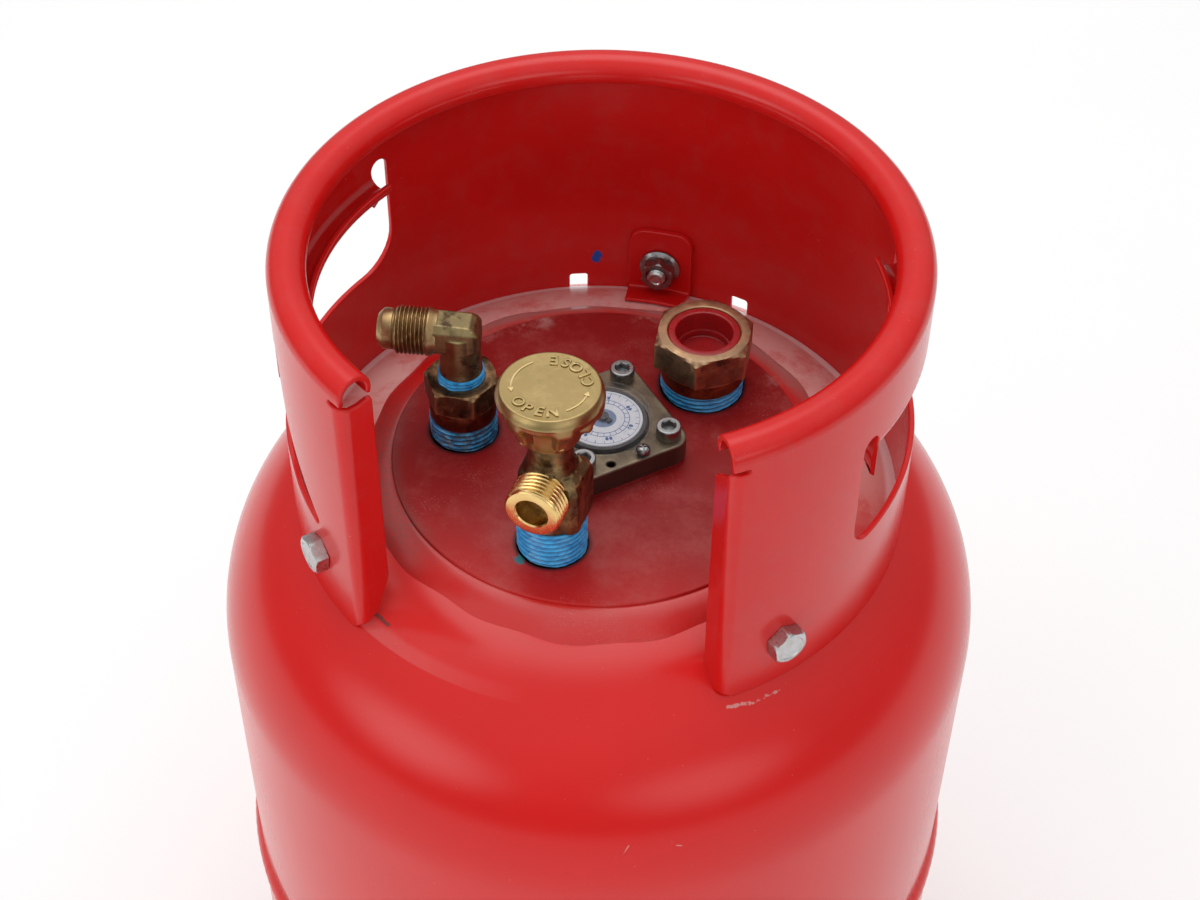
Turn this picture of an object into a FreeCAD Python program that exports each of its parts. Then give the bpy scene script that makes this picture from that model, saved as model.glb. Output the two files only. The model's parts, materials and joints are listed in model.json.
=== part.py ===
import FreeCAD, Part
import math
import os
from FreeCAD import Vector

# Refillable propane tank: a two-piece welded steel vessel with a flat valve plate, a bolted guard
# collar, a foot ring, a service valve, a fill elbow, a relief valve and a float gauge.
# Millimetres. +Z is up, the origin is on the tank's axis at floor level, and -Y is the front,
# where the guard collar is open. Azimuths run from -Y towards +X, in degrees.

# Vessel
PLATE_TOP = 448.0        # upper face of the valve plate, above the floor
PLATE_R = 82.0
PLATE_T = 14.0
BODY_R = 155.0           # upper shell, outside
LOWER_R = 156.2          # lower shell, outside
WALL = 3.0
SHOULDER_R = 76.0        # arc of the upper shell's shoulder
SHOULDER_DROP = 81.4     # from the plate's top down to the shoulder arc's centre
SEAM_Z = 234.0           # joint between the two shells
LAP = 12.0               # joggled edge of the upper shell inside the lower one
CROWN_R = 240.0          # dished bottom
KNUCKLE_R = 62.0
BOTTOM_Z = 20.0          # lowest point of the dish, above the floor
FOOT_R = 125.0
FOOT_SHEET = 3.0
FOOT_CURL = 5.0
FOOT_WEAR = 0.15

# Guard collar
COLLAR_R = 120.5
SHEET = 2.3
ROLL_R = 7.2             # rolled top edge, outside
RIM_Z = PLATE_TOP + 101.3
GAP_HALF = 33.8          # half the front opening, in degrees
FLANGE_W = 14.3          # front edges turned inwards
BEND_R = 4.5
HOLE_AZ = 91.4           # middle of each hand hole
HOLE_HALF = 59.7         # half the hand hole's width
HOLE_LOW = PLATE_TOP + 28.0
HOLE_LIP = PLATE_TOP + 77.0
BOLT_Z = {"left": 455.5, "right": 452.0, "back": 448.0}
BOLT_AZ = {"left": -46.0, "right": 46.0, "back": 180.0}

# Positions of the four fittings on the valve plate
VALVE_XY = (-6.2, -53.0)
FILL_XY = (-55.0, -1.6)
RELIEF_XY = (31.8, 45.9)
GAUGE_XY = (0.5, 3.0)

OUTLET_AZ = -8.0
OUTLET_Z = PLATE_TOP + 34.0
OUTLET_R = 10.9          # major radius of the outlet thread
ELBOW_AZ = -83.0
ELBOW_Z = PLATE_TOP + 50.5
FLARE_R = 9.4            # major radius of the flare thread
SMALL_BASE_R = 13.3      # tapered base thread of the valve and the fill adapter
LARGE_BASE_R = 16.7      # tapered base thread of the relief valve
SEALANT = 0.4
RUN = 0.05               # radial clearance of parts that turn or slide in each other

GAUGE_TURN = -3.7        # how far the gauge flange stands off square
GAUGE_PCD = 53.0
GAUGE_TOP = PLATE_TOP + 12.0
STEM_END = 250.0
FLOAT_PIVOT_Z = 228.0
FLOAT_REACH = 108.0
GAUGE_REST = 60.0        # the empty gauge's arm hangs this far below level
STOP_PIVOT_Z = 372.0
STOP_REACH = 78.0
STOP_REST = 65.0
STOP_SWING = 55.0
STOP_DROP = 3.0          # fall of the stop valve's piston
CAM_HIGH = 7.2

UP = Vector(0, 0, 1)
ORIGIN = Vector(0, 0, 0)
SHOULDER_C = BODY_R - SHOULDER_R
SHOULDER_Z = PLATE_TOP - SHOULDER_DROP
CROWN_Z = BOTTOM_Z + CROWN_R
KNUCKLE_C = LOWER_R - KNUCKLE_R
KNUCKLE_Z = CROWN_Z - math.sqrt((CROWN_R - KNUCKLE_R) ** 2 - KNUCKLE_C ** 2)
CROWN_ANGLE = math.asin(KNUCKLE_C / (CROWN_R - KNUCKLE_R))


# ---------------------------------------------------------------- drawing helpers

def face(start, *steps, plane="xz"):
    """A closed face; each step is a point, or a pair (via, end) for an arc."""
    def place(p):
        return Vector(p[0], 0, p[1]) if plane == "xz" else Vector(p[0], p[1], 0)
    edges = []
    here = first = place(start)
    for step in steps:
        if isinstance(step[0], tuple):
            end = place(step[1])
            edges.append(Part.Arc(here, place(step[0]), end).toShape())
        else:
            end = place(step)
            edges.append(Part.LineSegment(here, end).toShape())
        here = end
    if here.distanceToPoint(first) > 1e-6:
        edges.append(Part.LineSegment(here, first).toShape())
    return Part.Face(Part.Wire(edges))


def lathe(profile, xy=(0, 0), sweep=360.0):
    """Turns an XZ profile about the vertical axis through xy."""
    solid = profile.revolve(ORIGIN, UP, sweep)
    solid.translate(Vector(xy[0], xy[1], 0))
    return solid


def cylinder(r, low, high, xy=(0, 0)):
    return Part.makeCylinder(r, high - low, Vector(xy[0], xy[1], low))


def tube(outer, inner, low, high, xy=(0, 0)):
    return cylinder(outer, low, high, xy).cut(cylinder(inner, low - 1, high + 1, xy))


def box(x0, x1, y0, y1, z0, z1):
    return Part.makeBox(x1 - x0, y1 - y0, z1 - z0, Vector(x0, y0, z0))


def hexagon(flats, low, high, xy=(0, 0), azimuth=0.0, chamfer=0.0, both=False):
    """A vertical hexagonal prism with one flat facing the given azimuth."""
    r = flats / math.sqrt(3)
    turn = [math.radians(azimuth + 60 * k) for k in range(6)]
    points = [(r * math.cos(a), r * math.sin(a)) for a in turn]
    prism = face(points[0], *points[1:], plane="xy").extrude(Vector(0, 0, high - low))
    prism.translate(Vector(0, 0, low))
    if chamfer:
        c = r - flats / 2 + chamfer
        wide = r + 0.1
        foot = [(wide - c, low), (wide, low + c * 0.6)] if both else [(wide, low)]
        envelope = face((0, low), *foot, (wide, high - c * 0.6), (wide - c, high), (0, high))
        prism = prism.common(lathe(envelope))
    prism.translate(Vector(xy[0], xy[1], 0))
    return prism


def at_azimuth(shape, azimuth, xy=(0, 0)):
    """Turns a shape drawn facing -Y to an azimuth, then moves it to xy."""
    shape = shape.copy()
    shape.rotate(ORIGIN, UP, azimuth)
    shape.translate(Vector(xy[0], xy[1], 0))
    return shape


def outward(profile, near, far):
    """Extrudes an XZ face towards -Y, from one distance off the axis to another."""
    profile = profile.translated(Vector(0, -near, 0))
    return profile.extrude(Vector(0, near - far, 0))


def rod_out(r, near, far, z):
    """A round bar that points towards -Y."""
    return Part.makeCylinder(r, far - near, Vector(0, -near, z), Vector(0, -1, 0))


def rod(r, start, end):
    start, end = Vector(*start), Vector(*end)
    return Part.makeCylinder(r, (end - start).Length, start, end - start)


def sector(profile, middle, half):
    """Turns a profile through a stretch of azimuth, middle - half to middle + half."""
    return at_azimuth(lathe(profile, sweep=2 * half), middle - half - 90)


def rounded_slot(half, low, high, low_left, low_right, top):
    """A window face with its own corner radii."""
    def corner(cx, cz, r, a):
        a = math.radians(a)
        return (cx + r * math.cos(a), cz + r * math.sin(a))
    ll, lr = (-half + low_left, low + low_left), (half - low_right, low + low_right)
    tr, tl = (half - top, high - top), (-half + top, high - top)
    return face((ll[0], low), (lr[0], low), (corner(*lr, low_right, -45), (half, lr[1])),
                (half, tr[1]), (corner(*tr, top, 45), (tr[0], high)),
                (tl[0], high), (corner(*tl, top, 135), (-half, tl[1])),
                (-half, ll[1]), (corner(*ll, low_left, 225), (ll[0], low)))


def spring(radius, wire_r, low, high, turns, xy=(0, 0)):
    helix = Part.makeHelix((high - low - 2 * wire_r) / turns, high - low - 2 * wire_r, radius)
    section = Part.Wire([Part.makeCircle(wire_r, Vector(radius, 0, 0), Vector(0, 1, 0))])
    coil = Part.Wire(helix).makePipeShell([section], True, True)
    coil.translate(Vector(xy[0], xy[1], low + wire_r))
    return coil


def join(*shapes):
    return shapes[0].multiFuse(list(shapes[1:])).removeSplitter()


def shoulder_z(r, skin=0.0):
    return SHOULDER_Z + math.sqrt((SHOULDER_R + skin) ** 2 - (r - SHOULDER_C) ** 2)


def bottom_z(r):
    return CROWN_Z - math.sqrt(CROWN_R ** 2 - r ** 2)


# ---------------------------------------------------------------- vessel

def shoulder_arc(skin, start_r):
    """Points of the shoulder arc, offset outwards by skin: start, via, end."""
    r = SHOULDER_R + skin
    a = math.radians(40)
    via = (SHOULDER_C + r * math.sin(a), SHOULDER_Z + r * math.cos(a))
    return (start_r, shoulder_z(start_r, skin)), via, (BODY_R + skin, SHOULDER_Z)


def upper_shell():
    top, via, side = shoulder_arc(0, PLATE_R)
    top_in, via_in, side_in = shoulder_arc(-WALL, PLATE_R)
    lap_r = LOWER_R - WALL - 0.1
    return lathe(face(top, (via, side), (BODY_R, SEAM_Z + 4), (lap_r, SEAM_Z + 0.6),
                      (lap_r, SEAM_Z - LAP), (lap_r - WALL, SEAM_Z - LAP),
                      (lap_r - WALL, SEAM_Z + 1.8), (side_in[0], SEAM_Z + 5.2),
                      side_in, (via_in, top_in)))


def dish(skin):
    """Steps of the dished bottom from its centre to the side wall, offset outwards by skin."""
    crown, knuckle = CROWN_R + skin, KNUCKLE_R + skin
    half, mid = CROWN_ANGLE / 2, (CROWN_ANGLE + math.pi / 2) / 2
    tangent = (crown * math.sin(CROWN_ANGLE), CROWN_Z - crown * math.cos(CROWN_ANGLE))
    return [(0, CROWN_Z - crown),
            ((crown * math.sin(half), CROWN_Z - crown * math.cos(half)), tangent),
            ((KNUCKLE_C + knuckle * math.sin(mid), KNUCKLE_Z - knuckle * math.cos(mid)),
             (LOWER_R + skin, KNUCKLE_Z))]


def lower_solid(skin):
    steps = dish(skin)
    return lathe(face(steps[0], *steps[1:], (LOWER_R + skin, SEAM_Z), (0, SEAM_Z)))


def lower_shell():
    return lower_solid(0).cut(lower_solid(-WALL))


def seam_weld(upper, lower):
    bead = lathe(face((BODY_R, SEAM_Z + 7), ((LOWER_R + 1.4, SEAM_Z + 0.5), (LOWER_R, SEAM_Z - 6)),
                      (LOWER_R, SEAM_Z), (LOWER_R - WALL, SEAM_Z), (BODY_R - 1.5, SEAM_Z + 4)))
    return bead.cut(upper).cut(lower)


def foot_ring():
    """Skirt with an inward curl at the bottom, worn slightly flat where it stands."""
    inner = FOOT_R - FOOT_SHEET
    centre = FOOT_R - FOOT_CURL
    lip = centre - FOOT_CURL
    low = FOOT_CURL - FOOT_WEAR
    wall = lathe(face((FOOT_R, 60), (FOOT_R, low), ((centre, -FOOT_WEAR), (lip, low)),
                      (lip, low + 4), (lip + FOOT_SHEET, low + 4), (lip + FOOT_SHEET, low),
                      ((centre, FOOT_SHEET - FOOT_WEAR), (inner, low)), (inner, 60)))
    vent = outward(rounded_slot(22, 20, 36, 7.9, 7.9, 7.9), FOOT_R - 10, FOOT_R + 10)
    for azimuth in (45, 135, 225, 315):
        wall = wall.cut(at_azimuth(vent, azimuth))
    return wall.cut(lower_solid(0)).cut(cylinder(FOOT_R + 5, -5, 0))


def foot_weld(ring):
    edge = bottom_z(FOOT_R)
    bead = lathe(face((FOOT_R - 1, edge - 6), (FOOT_R, edge - 6),
                      ((FOOT_R + 2.8, edge - 0.5), (FOOT_R + 8, edge + 5.5)),
                      (FOOT_R - 1, edge + 5.5)))
    return bead.cut(lower_solid(0)).cut(ring)


def gauge_corners(reach, round_r, low, high):
    """The rounded diamond that the gauge flange, its gasket and its pad share."""
    half = reach / math.sqrt(2) + round_r
    sheet = outward(rounded_slot(half, -half, half, round_r, round_r, round_r), 0, high - low)
    sheet.rotate(ORIGIN, Vector(1, 0, 0), 90)
    sheet.translate(Vector(0, 0, high - sheet.BoundBox.ZMax))
    return at_azimuth(sheet, 45 + GAUGE_TURN, GAUGE_XY)


def gauge_screw_points():
    angles = [math.radians(GAUGE_TURN + 90 * k) for k in range(4)]
    r = GAUGE_PCD / 2
    return [(GAUGE_XY[0] + r * math.sin(a), GAUGE_XY[1] - r * math.cos(a)) for a in angles]


def valve_plate():
    low, high = PLATE_TOP - PLATE_T, PLATE_TOP
    plate = lathe(face((0, low), (PLATE_R, low), (PLATE_R, high - 0.8), (PLATE_R - 0.8, high), (0, high)))
    plate = plate.fuse(gauge_corners(GAUGE_PCD / 2, 6, high - 1, high + 1)).removeSplitter()
    for r, xy in ((SMALL_BASE_R, VALVE_XY), (SMALL_BASE_R, FILL_XY), (LARGE_BASE_R, RELIEF_XY)):
        plate = plate.cut(cylinder(r + RUN, low - 1, high + 1, xy))
    plate = plate.cut(cylinder(17.5, low - 1, high + 5, GAUGE_XY))
    for xy in gauge_screw_points():
        plate = plate.cut(cylinder(3.0 + RUN, high - 9, high + 5, xy))
    return plate


def plate_weld(upper, plate):
    outer = PLATE_R + 12
    bead = lathe(face((PLATE_R - 0.5, PLATE_TOP - 1.4), (PLATE_R, PLATE_TOP - 1.4),
                      ((PLATE_R + 6.2, PLATE_TOP - 3.2), (outer, shoulder_z(outer))),
                      (outer, shoulder_z(outer) - 1.2), (PLATE_R - 0.5, PLATE_TOP - 7)))
    return bead.cut(upper).cut(plate)


# ---------------------------------------------------------------- guard collar

def collar_plan():
    """The collar's wall and its two turned-in front edges, seen from above."""
    def polar(r, azimuth):
        a = math.radians(azimuth)
        return (r * math.sin(a), -r * math.cos(a))

    def bend(r, side):
        """Arc between the wall at radius r and the face of the front edge."""
        gap = BEND_R if r == COLLAR_R else BEND_R - SHEET
        face_off = 0.0 if r == COLLAR_R else SHEET
        centre_r = COLLAR_R - BEND_R
        turn = math.degrees(math.asin(BEND_R / centre_r))
        reach = math.sqrt(centre_r ** 2 - BEND_R ** 2)
        on_wall = polar(r, side * (GAP_HALF + turn))
        radial = math.radians(side * GAP_HALF)
        along = (math.sin(radial), -math.cos(radial))
        across = (side * math.cos(radial), side * math.sin(radial))

        def point(s, t):
            return (s * along[0] + t * across[0], s * along[1] + t * across[1])
        middle = (math.pi / 2 + math.asin(BEND_R / centre_r)) / 2
        via = point(reach + gap * math.sin(middle), BEND_R - gap * math.cos(middle))
        return on_wall, via, point(reach, face_off), point(COLLAR_R - FLANGE_W, face_off)

    out_r, in_r = COLLAR_R, COLLAR_R - SHEET
    wall_a, via_a, flat_a, tip_a = bend(out_r, 1)
    wall_b, via_b, flat_b, tip_b = bend(out_r, -1)
    wall_c, via_c, flat_c, tip_c = bend(in_r, -1)
    wall_d, via_d, flat_d, tip_d = bend(in_r, 1)
    return face(tip_a, flat_a, (via_a, wall_a), ((0, out_r), wall_b), (via_b, flat_b), tip_b,
                tip_c, flat_c, (via_c, wall_c), ((0, in_r), wall_d), (via_d, flat_d), tip_d, plane="xy")


def front_edge_trim(side):
    """Cuts the ends of one turned-in front edge: under the roll, and at the lower corner."""
    inner = COLLAR_R - FLANGE_W - 1
    bend = COLLAR_R - BEND_R
    top = RIM_Z - 4.8
    fall = 1.5 if side < 0 else 9.5
    upper = face((inner, RIM_Z + 20), (inner, top - fall),
                 ((bend - 4, top - fall * 0.8), (COLLAR_R + 1, top)), (COLLAR_R + 1, RIM_Z + 20))
    rise = 14.0 if side < 0 else 4.0
    low = PLATE_TOP - 15
    lower = face((inner, low - 40), (inner, low + rise), (inner + 1.5, low + rise),
                 ((inner + 5.5, low + 3), (bend, low)), (bend, low - 40))
    trims = []
    for profile in (upper, lower):
        slab = profile.extrude(Vector(0, 12, 0))
        slab.translate(Vector(0, -6, 0))
        trims.append(at_azimuth(slab, side * GAP_HALF - 90))
    return trims


def collar():
    wall = collar_plan().extrude(Vector(0, 0, RIM_Z + 0.2 - PLATE_TOP + 30))
    wall.translate(Vector(0, 0, PLATE_TOP - 30))
    for side in (-1, 1):
        for trim in front_edge_trim(side):
            wall = wall.cut(trim)
    centre = COLLAR_R - ROLL_R
    inner = ROLL_R - SHEET

    def roll(z, end, flip):
        """C-shaped section of a rolled edge, from the wall round to the given angle."""
        def on(r, degrees):
            a = math.radians(degrees)
            return (centre + r * math.cos(a), z + flip * r * math.sin(a))
        return face(on(ROLL_R, 0), (on(ROLL_R, end / 2), on(ROLL_R, end)), on(inner, end),
                    (on(inner, end / 2), on(inner, 0)))
    rim = sector(roll(RIM_Z, 205, 1), 180, 180 - GAP_HALF)
    solid = wall.fuse(rim)
    for side in (-1, 1):
        corners = (10, 17) if side > 0 else (17, 10)
        window = outward(rounded_slot(HOLE_HALF, HOLE_LOW, HOLE_LIP, *corners, 0.5), 60, 140)
        solid = solid.cut(at_azimuth(window, side * HOLE_AZ))
        if side < 0:
            solid = solid.cut(slanted_corner())
        for end in (-1, 1):
            notch = rounded_slot(3.7, HOLE_LIP - 9, HOLE_LIP + 3, 0.5, 0.5, 3.6)
            notch = outward(notch.translated(Vector(end * (HOLE_HALF - 3.7), 0, 0)), 60, 140)
            solid = solid.cut(at_azimuth(notch, side * HOLE_AZ))
        lip_half = math.degrees(math.asin((HOLE_HALF - 7.4) / COLLAR_R))
        solid = solid.fuse(sector(roll(HOLE_LIP, 185, -1), side * HOLE_AZ, lip_half))
        drain = outward(rounded_slot(3.9, PLATE_TOP - 24, PLATE_TOP - 9.5, 1, 1, 1.2), 100, 130)
        solid = solid.cut(at_azimuth(drain, side * 162.5))
    for name in BOLT_AZ:
        solid = solid.cut(at_azimuth(rod_out(4.3, 100, 130, BOLT_Z[name]), BOLT_AZ[name]))
    top, via, side = shoulder_arc(0, PLATE_R)
    shoulder = lathe(face(top, (via, side), (BODY_R, SEAM_Z), (PLATE_R, SEAM_Z)))
    return solid.cut(shoulder).removeSplitter()


def slanted_corner():
    """Cutter for the left hand hole's front corner, which reaches towards the bolt."""
    beak = face((-30, HOLE_LOW), (-12, HOLE_LOW), (-4, HOLE_LOW - 4), (15.5, HOLE_LOW - 6.5),
                ((17.8, HOLE_LOW - 4.8), (16.6, HOLE_LOW - 2.4)), (-1.5, HOLE_LOW + 16),
                (-9, HOLE_LOW + 24), (-30, HOLE_LOW + 24))
    return at_azimuth(outward(beak, 100, 140), -54)


def bracket(name):
    """An angle welded to the shoulder, which one collar bolt passes through."""
    outer = COLLAR_R - SHEET - RUN
    inner = outer - 3.0
    foot = inner - (20 if name == "back" else 12)
    half = math.degrees(math.asin(14 / outer))
    top = PLATE_TOP + 18
    profile = face((foot, shoulder_z(foot)), (foot, shoulder_z(foot, 3)), (inner, shoulder_z(inner, 3)),
                   (inner, top), (outer, top), (outer, shoulder_z(outer)),
                   ((outer - 7.5, shoulder_z(outer - 7.5)), (foot, shoulder_z(foot))))
    tab = sector(profile, 0, half)
    window = outward(rounded_slot(13.9, PLATE_TOP - 30, top, 0.5, 0.5, 7), 60, 140)
    tab = tab.common(window).cut(rod_out(4.3, 100, 130, BOLT_Z[name]))
    return at_azimuth(tab, BOLT_AZ[name])


def collar_bolts():
    bolts = []
    for name, azimuth in BOLT_AZ.items():
        head = hexagon(13, COLLAR_R + 0.1, COLLAR_R + 5.4, azimuth=20, chamfer=0.4)
        head.rotate(ORIGIN, Vector(1, 0, 0), 90)
        head.translate(Vector(0, 0, BOLT_Z[name]))
        shank = rod_out(3.95, 105.2, COLLAR_R + 1, BOLT_Z[name])
        bolts.append(at_azimuth(head.fuse(shank), azimuth))
    return Part.makeCompound(bolts)


def collar_nuts():
    nuts = []
    seat = COLLAR_R - SHEET - 3.5
    for name, azimuth in BOLT_AZ.items():
        nut = hexagon(13, seat - 7.6, seat - 1, azimuth=10, chamfer=0.4)
        nut.rotate(ORIGIN, Vector(1, 0, 0), 90)
        nut.translate(Vector(0, 0, BOLT_Z[name]))
        nut = nut.fuse(rod_out(8.8, seat - 1.6, seat, BOLT_Z[name]))
        nut = nut.cut(rod_out(3.98, 90, 130, BOLT_Z[name]))
        nuts.append(at_azimuth(nut, azimuth))
    return Part.makeCompound(nuts)


# ---------------------------------------------------------------- service valve

SEAT_Z = PLATE_TOP + 30
NECK_TOP = PLATE_TOP + 56


def base_thread(r, low, band_top, xy):
    """A tapered base thread, drawn at its major size: full in the plate, and thinner under the sealant."""
    return cylinder(r, low, PLATE_TOP, xy).fuse(cylinder(r - 0.3, PLATE_TOP - 1, band_top, xy))


def sealant_band(r, band_top, xy):
    return tube(r - 0.3 + SEALANT, r - 0.3, PLATE_TOP, band_top, xy)


def valve_body():
    block = box(-10.5, 13.7, -10, 10, PLATE_TOP + 16, PLATE_TOP + 42)
    block = block.makeChamfer(2.0, [e for e in block.Edges if abs(e.tangentAt(0).z) > 0.9])
    outlet = rod_out(9.6, 0, 10.6, OUTLET_Z).fuse(rod_out(OUTLET_R, 10.3, 18.6, OUTLET_Z))
    cone = Part.makeCone(OUTLET_R, OUTLET_R - 0.9, 0.9, Vector(0, -18.6, OUTLET_Z), Vector(0, -1, 0))
    pad = box(-3.5, 4.5, -9.2, 0, PLATE_TOP + 40, PLATE_TOP + 45)
    solid = join(block, pad, cylinder(8.4, PLATE_TOP + 38, NECK_TOP),
                 cylinder(12.3, PLATE_TOP + 15.5, PLATE_TOP + 39))
    solid = join(solid.cut(rod_out(12.2, 10, 30, OUTLET_Z)), outlet, cone)
    solid = at_azimuth(solid, OUTLET_AZ, VALVE_XY)
    solid = join(solid, base_thread(SMALL_BASE_R, PLATE_TOP - PLATE_T, PLATE_TOP + 16.5, VALVE_XY))
    chamber = cylinder(6.0 + RUN, SEAT_Z, NECK_TOP + 1, VALVE_XY)
    inlet = cylinder(3.2, PLATE_TOP - 20, SEAT_Z + 1, VALVE_XY)
    mouth = rod_out(6.2, 9.5, 30, OUTLET_Z).fuse(rod_out(3.0, 2, 12, OUTLET_Z))
    return solid.cut(chamber).cut(inlet).cut(at_azimuth(mouth, OUTLET_AZ, VALVE_XY))


def lower_spindle():
    low = SEAT_Z + 2.5
    solid = cylinder(4.8, low, SEAT_Z + 10, VALVE_XY).fuse(cylinder(6.0, SEAT_Z + 9, SEAT_Z + 17, VALVE_XY))
    slot = at_azimuth(box(-7, 7, -1.25, 1.25, SEAT_Z + 7.5, SEAT_Z + 18), 0, VALVE_XY)
    return solid.cut(slot)


def seat_disc():
    return cylinder(4.6, SEAT_Z + 0.02, SEAT_Z + 2.5, VALVE_XY)


def upper_spindle():
    blade = box(-4.6, 4.6, -1.15, 1.15, SEAT_Z + 12, SEAT_Z + 22.5)
    blade = blade.common(cylinder(5.0, SEAT_Z + 11, SEAT_Z + 23))
    shaft = cylinder(5.4, SEAT_Z + 22, SEAT_Z + 24).fuse(cylinder(3.0, SEAT_Z + 23, PLATE_TOP + 72))
    return at_azimuth(join(blade, shaft), 0, VALVE_XY)


def bonnet():
    nut = hexagon(15, NECK_TOP, NECK_TOP + 5, azimuth=12, chamfer=0.3)
    solid = nut.fuse(cylinder(6.0, NECK_TOP - 1.5, NECK_TOP + 1)).cut(cylinder(3.0 + RUN, 480, 520))
    solid = solid.cut(tube(4.65, 2.0, NECK_TOP + 1.2, NECK_TOP + 3.0))
    return at_azimuth(solid, 0, VALVE_XY)


def stem_seal():
    return at_azimuth(Part.makeTorus(3.9, 0.72, Vector(0, 0, NECK_TOP + 2.1)), 0, VALVE_XY)


def handwheel():
    """Dished wheel: a flat top disc, six ribs under it that end in small balls, and a hollow hub."""
    top = PLATE_TOP + 80
    rim = face((2.95, top - 9), (2.95, top - 6), (0, top - 6), (0, top), (18.0, top),
               ((19.2, top - 0.6), (19.7, top - 2)), (19.7, top - 6), ((18.6, top - 8.4), (16.2, top - 10)),
               (13.4, top - 17), (12.0, top - 20.5), (10.2, top - 22.0), (9.4, top - 21.4),
               (9.4, top - 15), (5.5, top - 11.6))
    wheel = lathe(rim)
    for k in range(6):
        azimuth = 30 + 60 * k
        rib = Part.makeCone(2.6, 4.0, 10.5, Vector(0, -13.4, top - 17.0), Vector(0, -0.2, 1))
        ball = Part.makeSphere(2.0, Vector(0, -13.3, top - 17.2))
        wheel = wheel.fuse(at_azimuth(rib.fuse(ball), azimuth))
    cavity = cylinder(9.4, top - 24, top - 15)
    return at_azimuth(wheel.cut(cavity).removeSplitter(), 0, VALVE_XY)


# ---------------------------------------------------------------- fill connection

CHECK_SEAT = PLATE_TOP + 12


def fill_adapter():
    solid = join(base_thread(SMALL_BASE_R, PLATE_TOP - PLATE_T, PLATE_TOP + 10, FILL_XY),
                 cylinder(13.1, PLATE_TOP + 10, PLATE_TOP + 18.2, FILL_XY),
                 hexagon(26, PLATE_TOP + 18, PLATE_TOP + 29, FILL_XY, 3, 0.4))
    for r, low, high in ((5.0, 430, 500), (8.5 + RUN, PLATE_TOP + 19, 500),
                         (7.5, PLATE_TOP - 4, CHECK_SEAT), (8.9 + RUN, 430, PLATE_TOP - 4)):
        solid = solid.cut(cylinder(r, low, high, FILL_XY))
    return solid


def fill_elbow():
    """Flare elbow: threaded foot, round upright, square arm, flare thread and nose."""
    upright = join(cylinder(8.5, PLATE_TOP + 20, PLATE_TOP + 34),
                   cylinder(8.2, PLATE_TOP + 33.5, ELBOW_Z + 2))
    arm = box(-7.2, 7.2, -12, 7.6, ELBOW_Z - 7.2, ELBOW_Z + 7.2)
    arm = arm.makeChamfer(2.2, [e for e in arm.Edges if abs(e.tangentAt(0).y) > 0.9
                                or e.CenterOfMass.y > 7])
    thread = rod_out(FLARE_R, 12, 24, ELBOW_Z).fuse(rod_out(8.0, 11, 28.9, ELBOW_Z))
    nose = Part.makeCone(8.0, 6.0, 2.0, Vector(0, -28.9, ELBOW_Z), Vector(0, -1, 0))
    solid = join(upright, arm, thread, nose)
    solid = solid.cut(rod_out(5.0, -2, 40, ELBOW_Z)).cut(cylinder(5.0, PLATE_TOP, ELBOW_Z))
    return at_azimuth(solid, ELBOW_AZ, FILL_XY)


def elbow_sealant():
    return tube(9.3, 8.5, PLATE_TOP + 29, PLATE_TOP + 33.4, FILL_XY)


def check_poppet():
    return join(cylinder(6.8, CHECK_SEAT - 3.5, CHECK_SEAT, FILL_XY),
                cylinder(2.0, PLATE_TOP - 4.5, CHECK_SEAT - 3, FILL_XY))


def check_spring():
    return spring(4.8, 0.6, PLATE_TOP - 2.95, CHECK_SEAT - 3.55, 5, FILL_XY)


def check_guide():
    plate = tube(7.45, 2.0 + RUN, PLATE_TOP - 4, PLATE_TOP - 3, FILL_XY)
    for k in range(4):
        hole = at_azimuth(cylinder(1.1, 430, 460, (4.6, 0)), 90 * k, FILL_XY)
        plate = plate.cut(hole)
    return plate


def stop_valve_body():
    """Filling stop valve: a tube below the adapter, slotted at the bottom for the float arm's cam."""
    x, y = FILL_XY
    z = STOP_PIVOT_Z
    solid = join(cylinder(11, z - 10, PLATE_TOP - PLATE_T - 0.1, FILL_XY),
                 cylinder(8.9, PLATE_TOP - PLATE_T - 1, PLATE_TOP - 4.05, FILL_XY))
    for r, low, high in ((4.5, z, 450), (7.0, z + 8, z + 20), (4.0, z - 12, z + 9)):
        solid = solid.cut(cylinder(r, low, high, FILL_XY))
    solid = solid.cut(box(x - 2.6, x + 2.6, y - 8.5, y + 20, z - 12, z + 7.9))
    return solid.cut(rod(1.5 + RUN, (x - 12, y, z), (x + 12, y, z)))


def stop_piston():
    """Notched disc that drops on its seat as the cam turns away from its rounded stem."""
    seat = STOP_PIVOT_Z + 8 + STOP_DROP
    disc = cylinder(7.0 - RUN, seat, seat + 2.5, FILL_XY)
    for k in range(4):
        notch = at_azimuth(cylinder(1.7, seat - 1, seat + 4, (0, -6.9)), 90 * k, FILL_XY)
        disc = disc.cut(notch)
    tip = STOP_PIVOT_Z + CAM_HIGH + 0.2 + 1.2
    ball = Part.makeSphere(1.2, Vector(FILL_XY[0], FILL_XY[1], tip))
    return join(disc, cylinder(1.2, tip, seat + 1, FILL_XY), ball)


def cam_face():
    """Spiral cam seen along +X: it falls by STOP_DROP over the arm's swing."""
    points = []
    for degrees in range(0, 360, 5):
        if degrees < 90 - STOP_SWING or degrees > 150:
            r = CAM_HIGH - STOP_DROP
        elif degrees <= 100:
            r = CAM_HIGH - STOP_DROP * max(0, 90 - degrees) / STOP_SWING
        else:
            r = CAM_HIGH - STOP_DROP * (degrees - 100) / 50
        a = math.radians(degrees)
        points.append((r * math.cos(a), r * math.sin(a)))
    return face(points[0], *points[1:], plane="xy")


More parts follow.
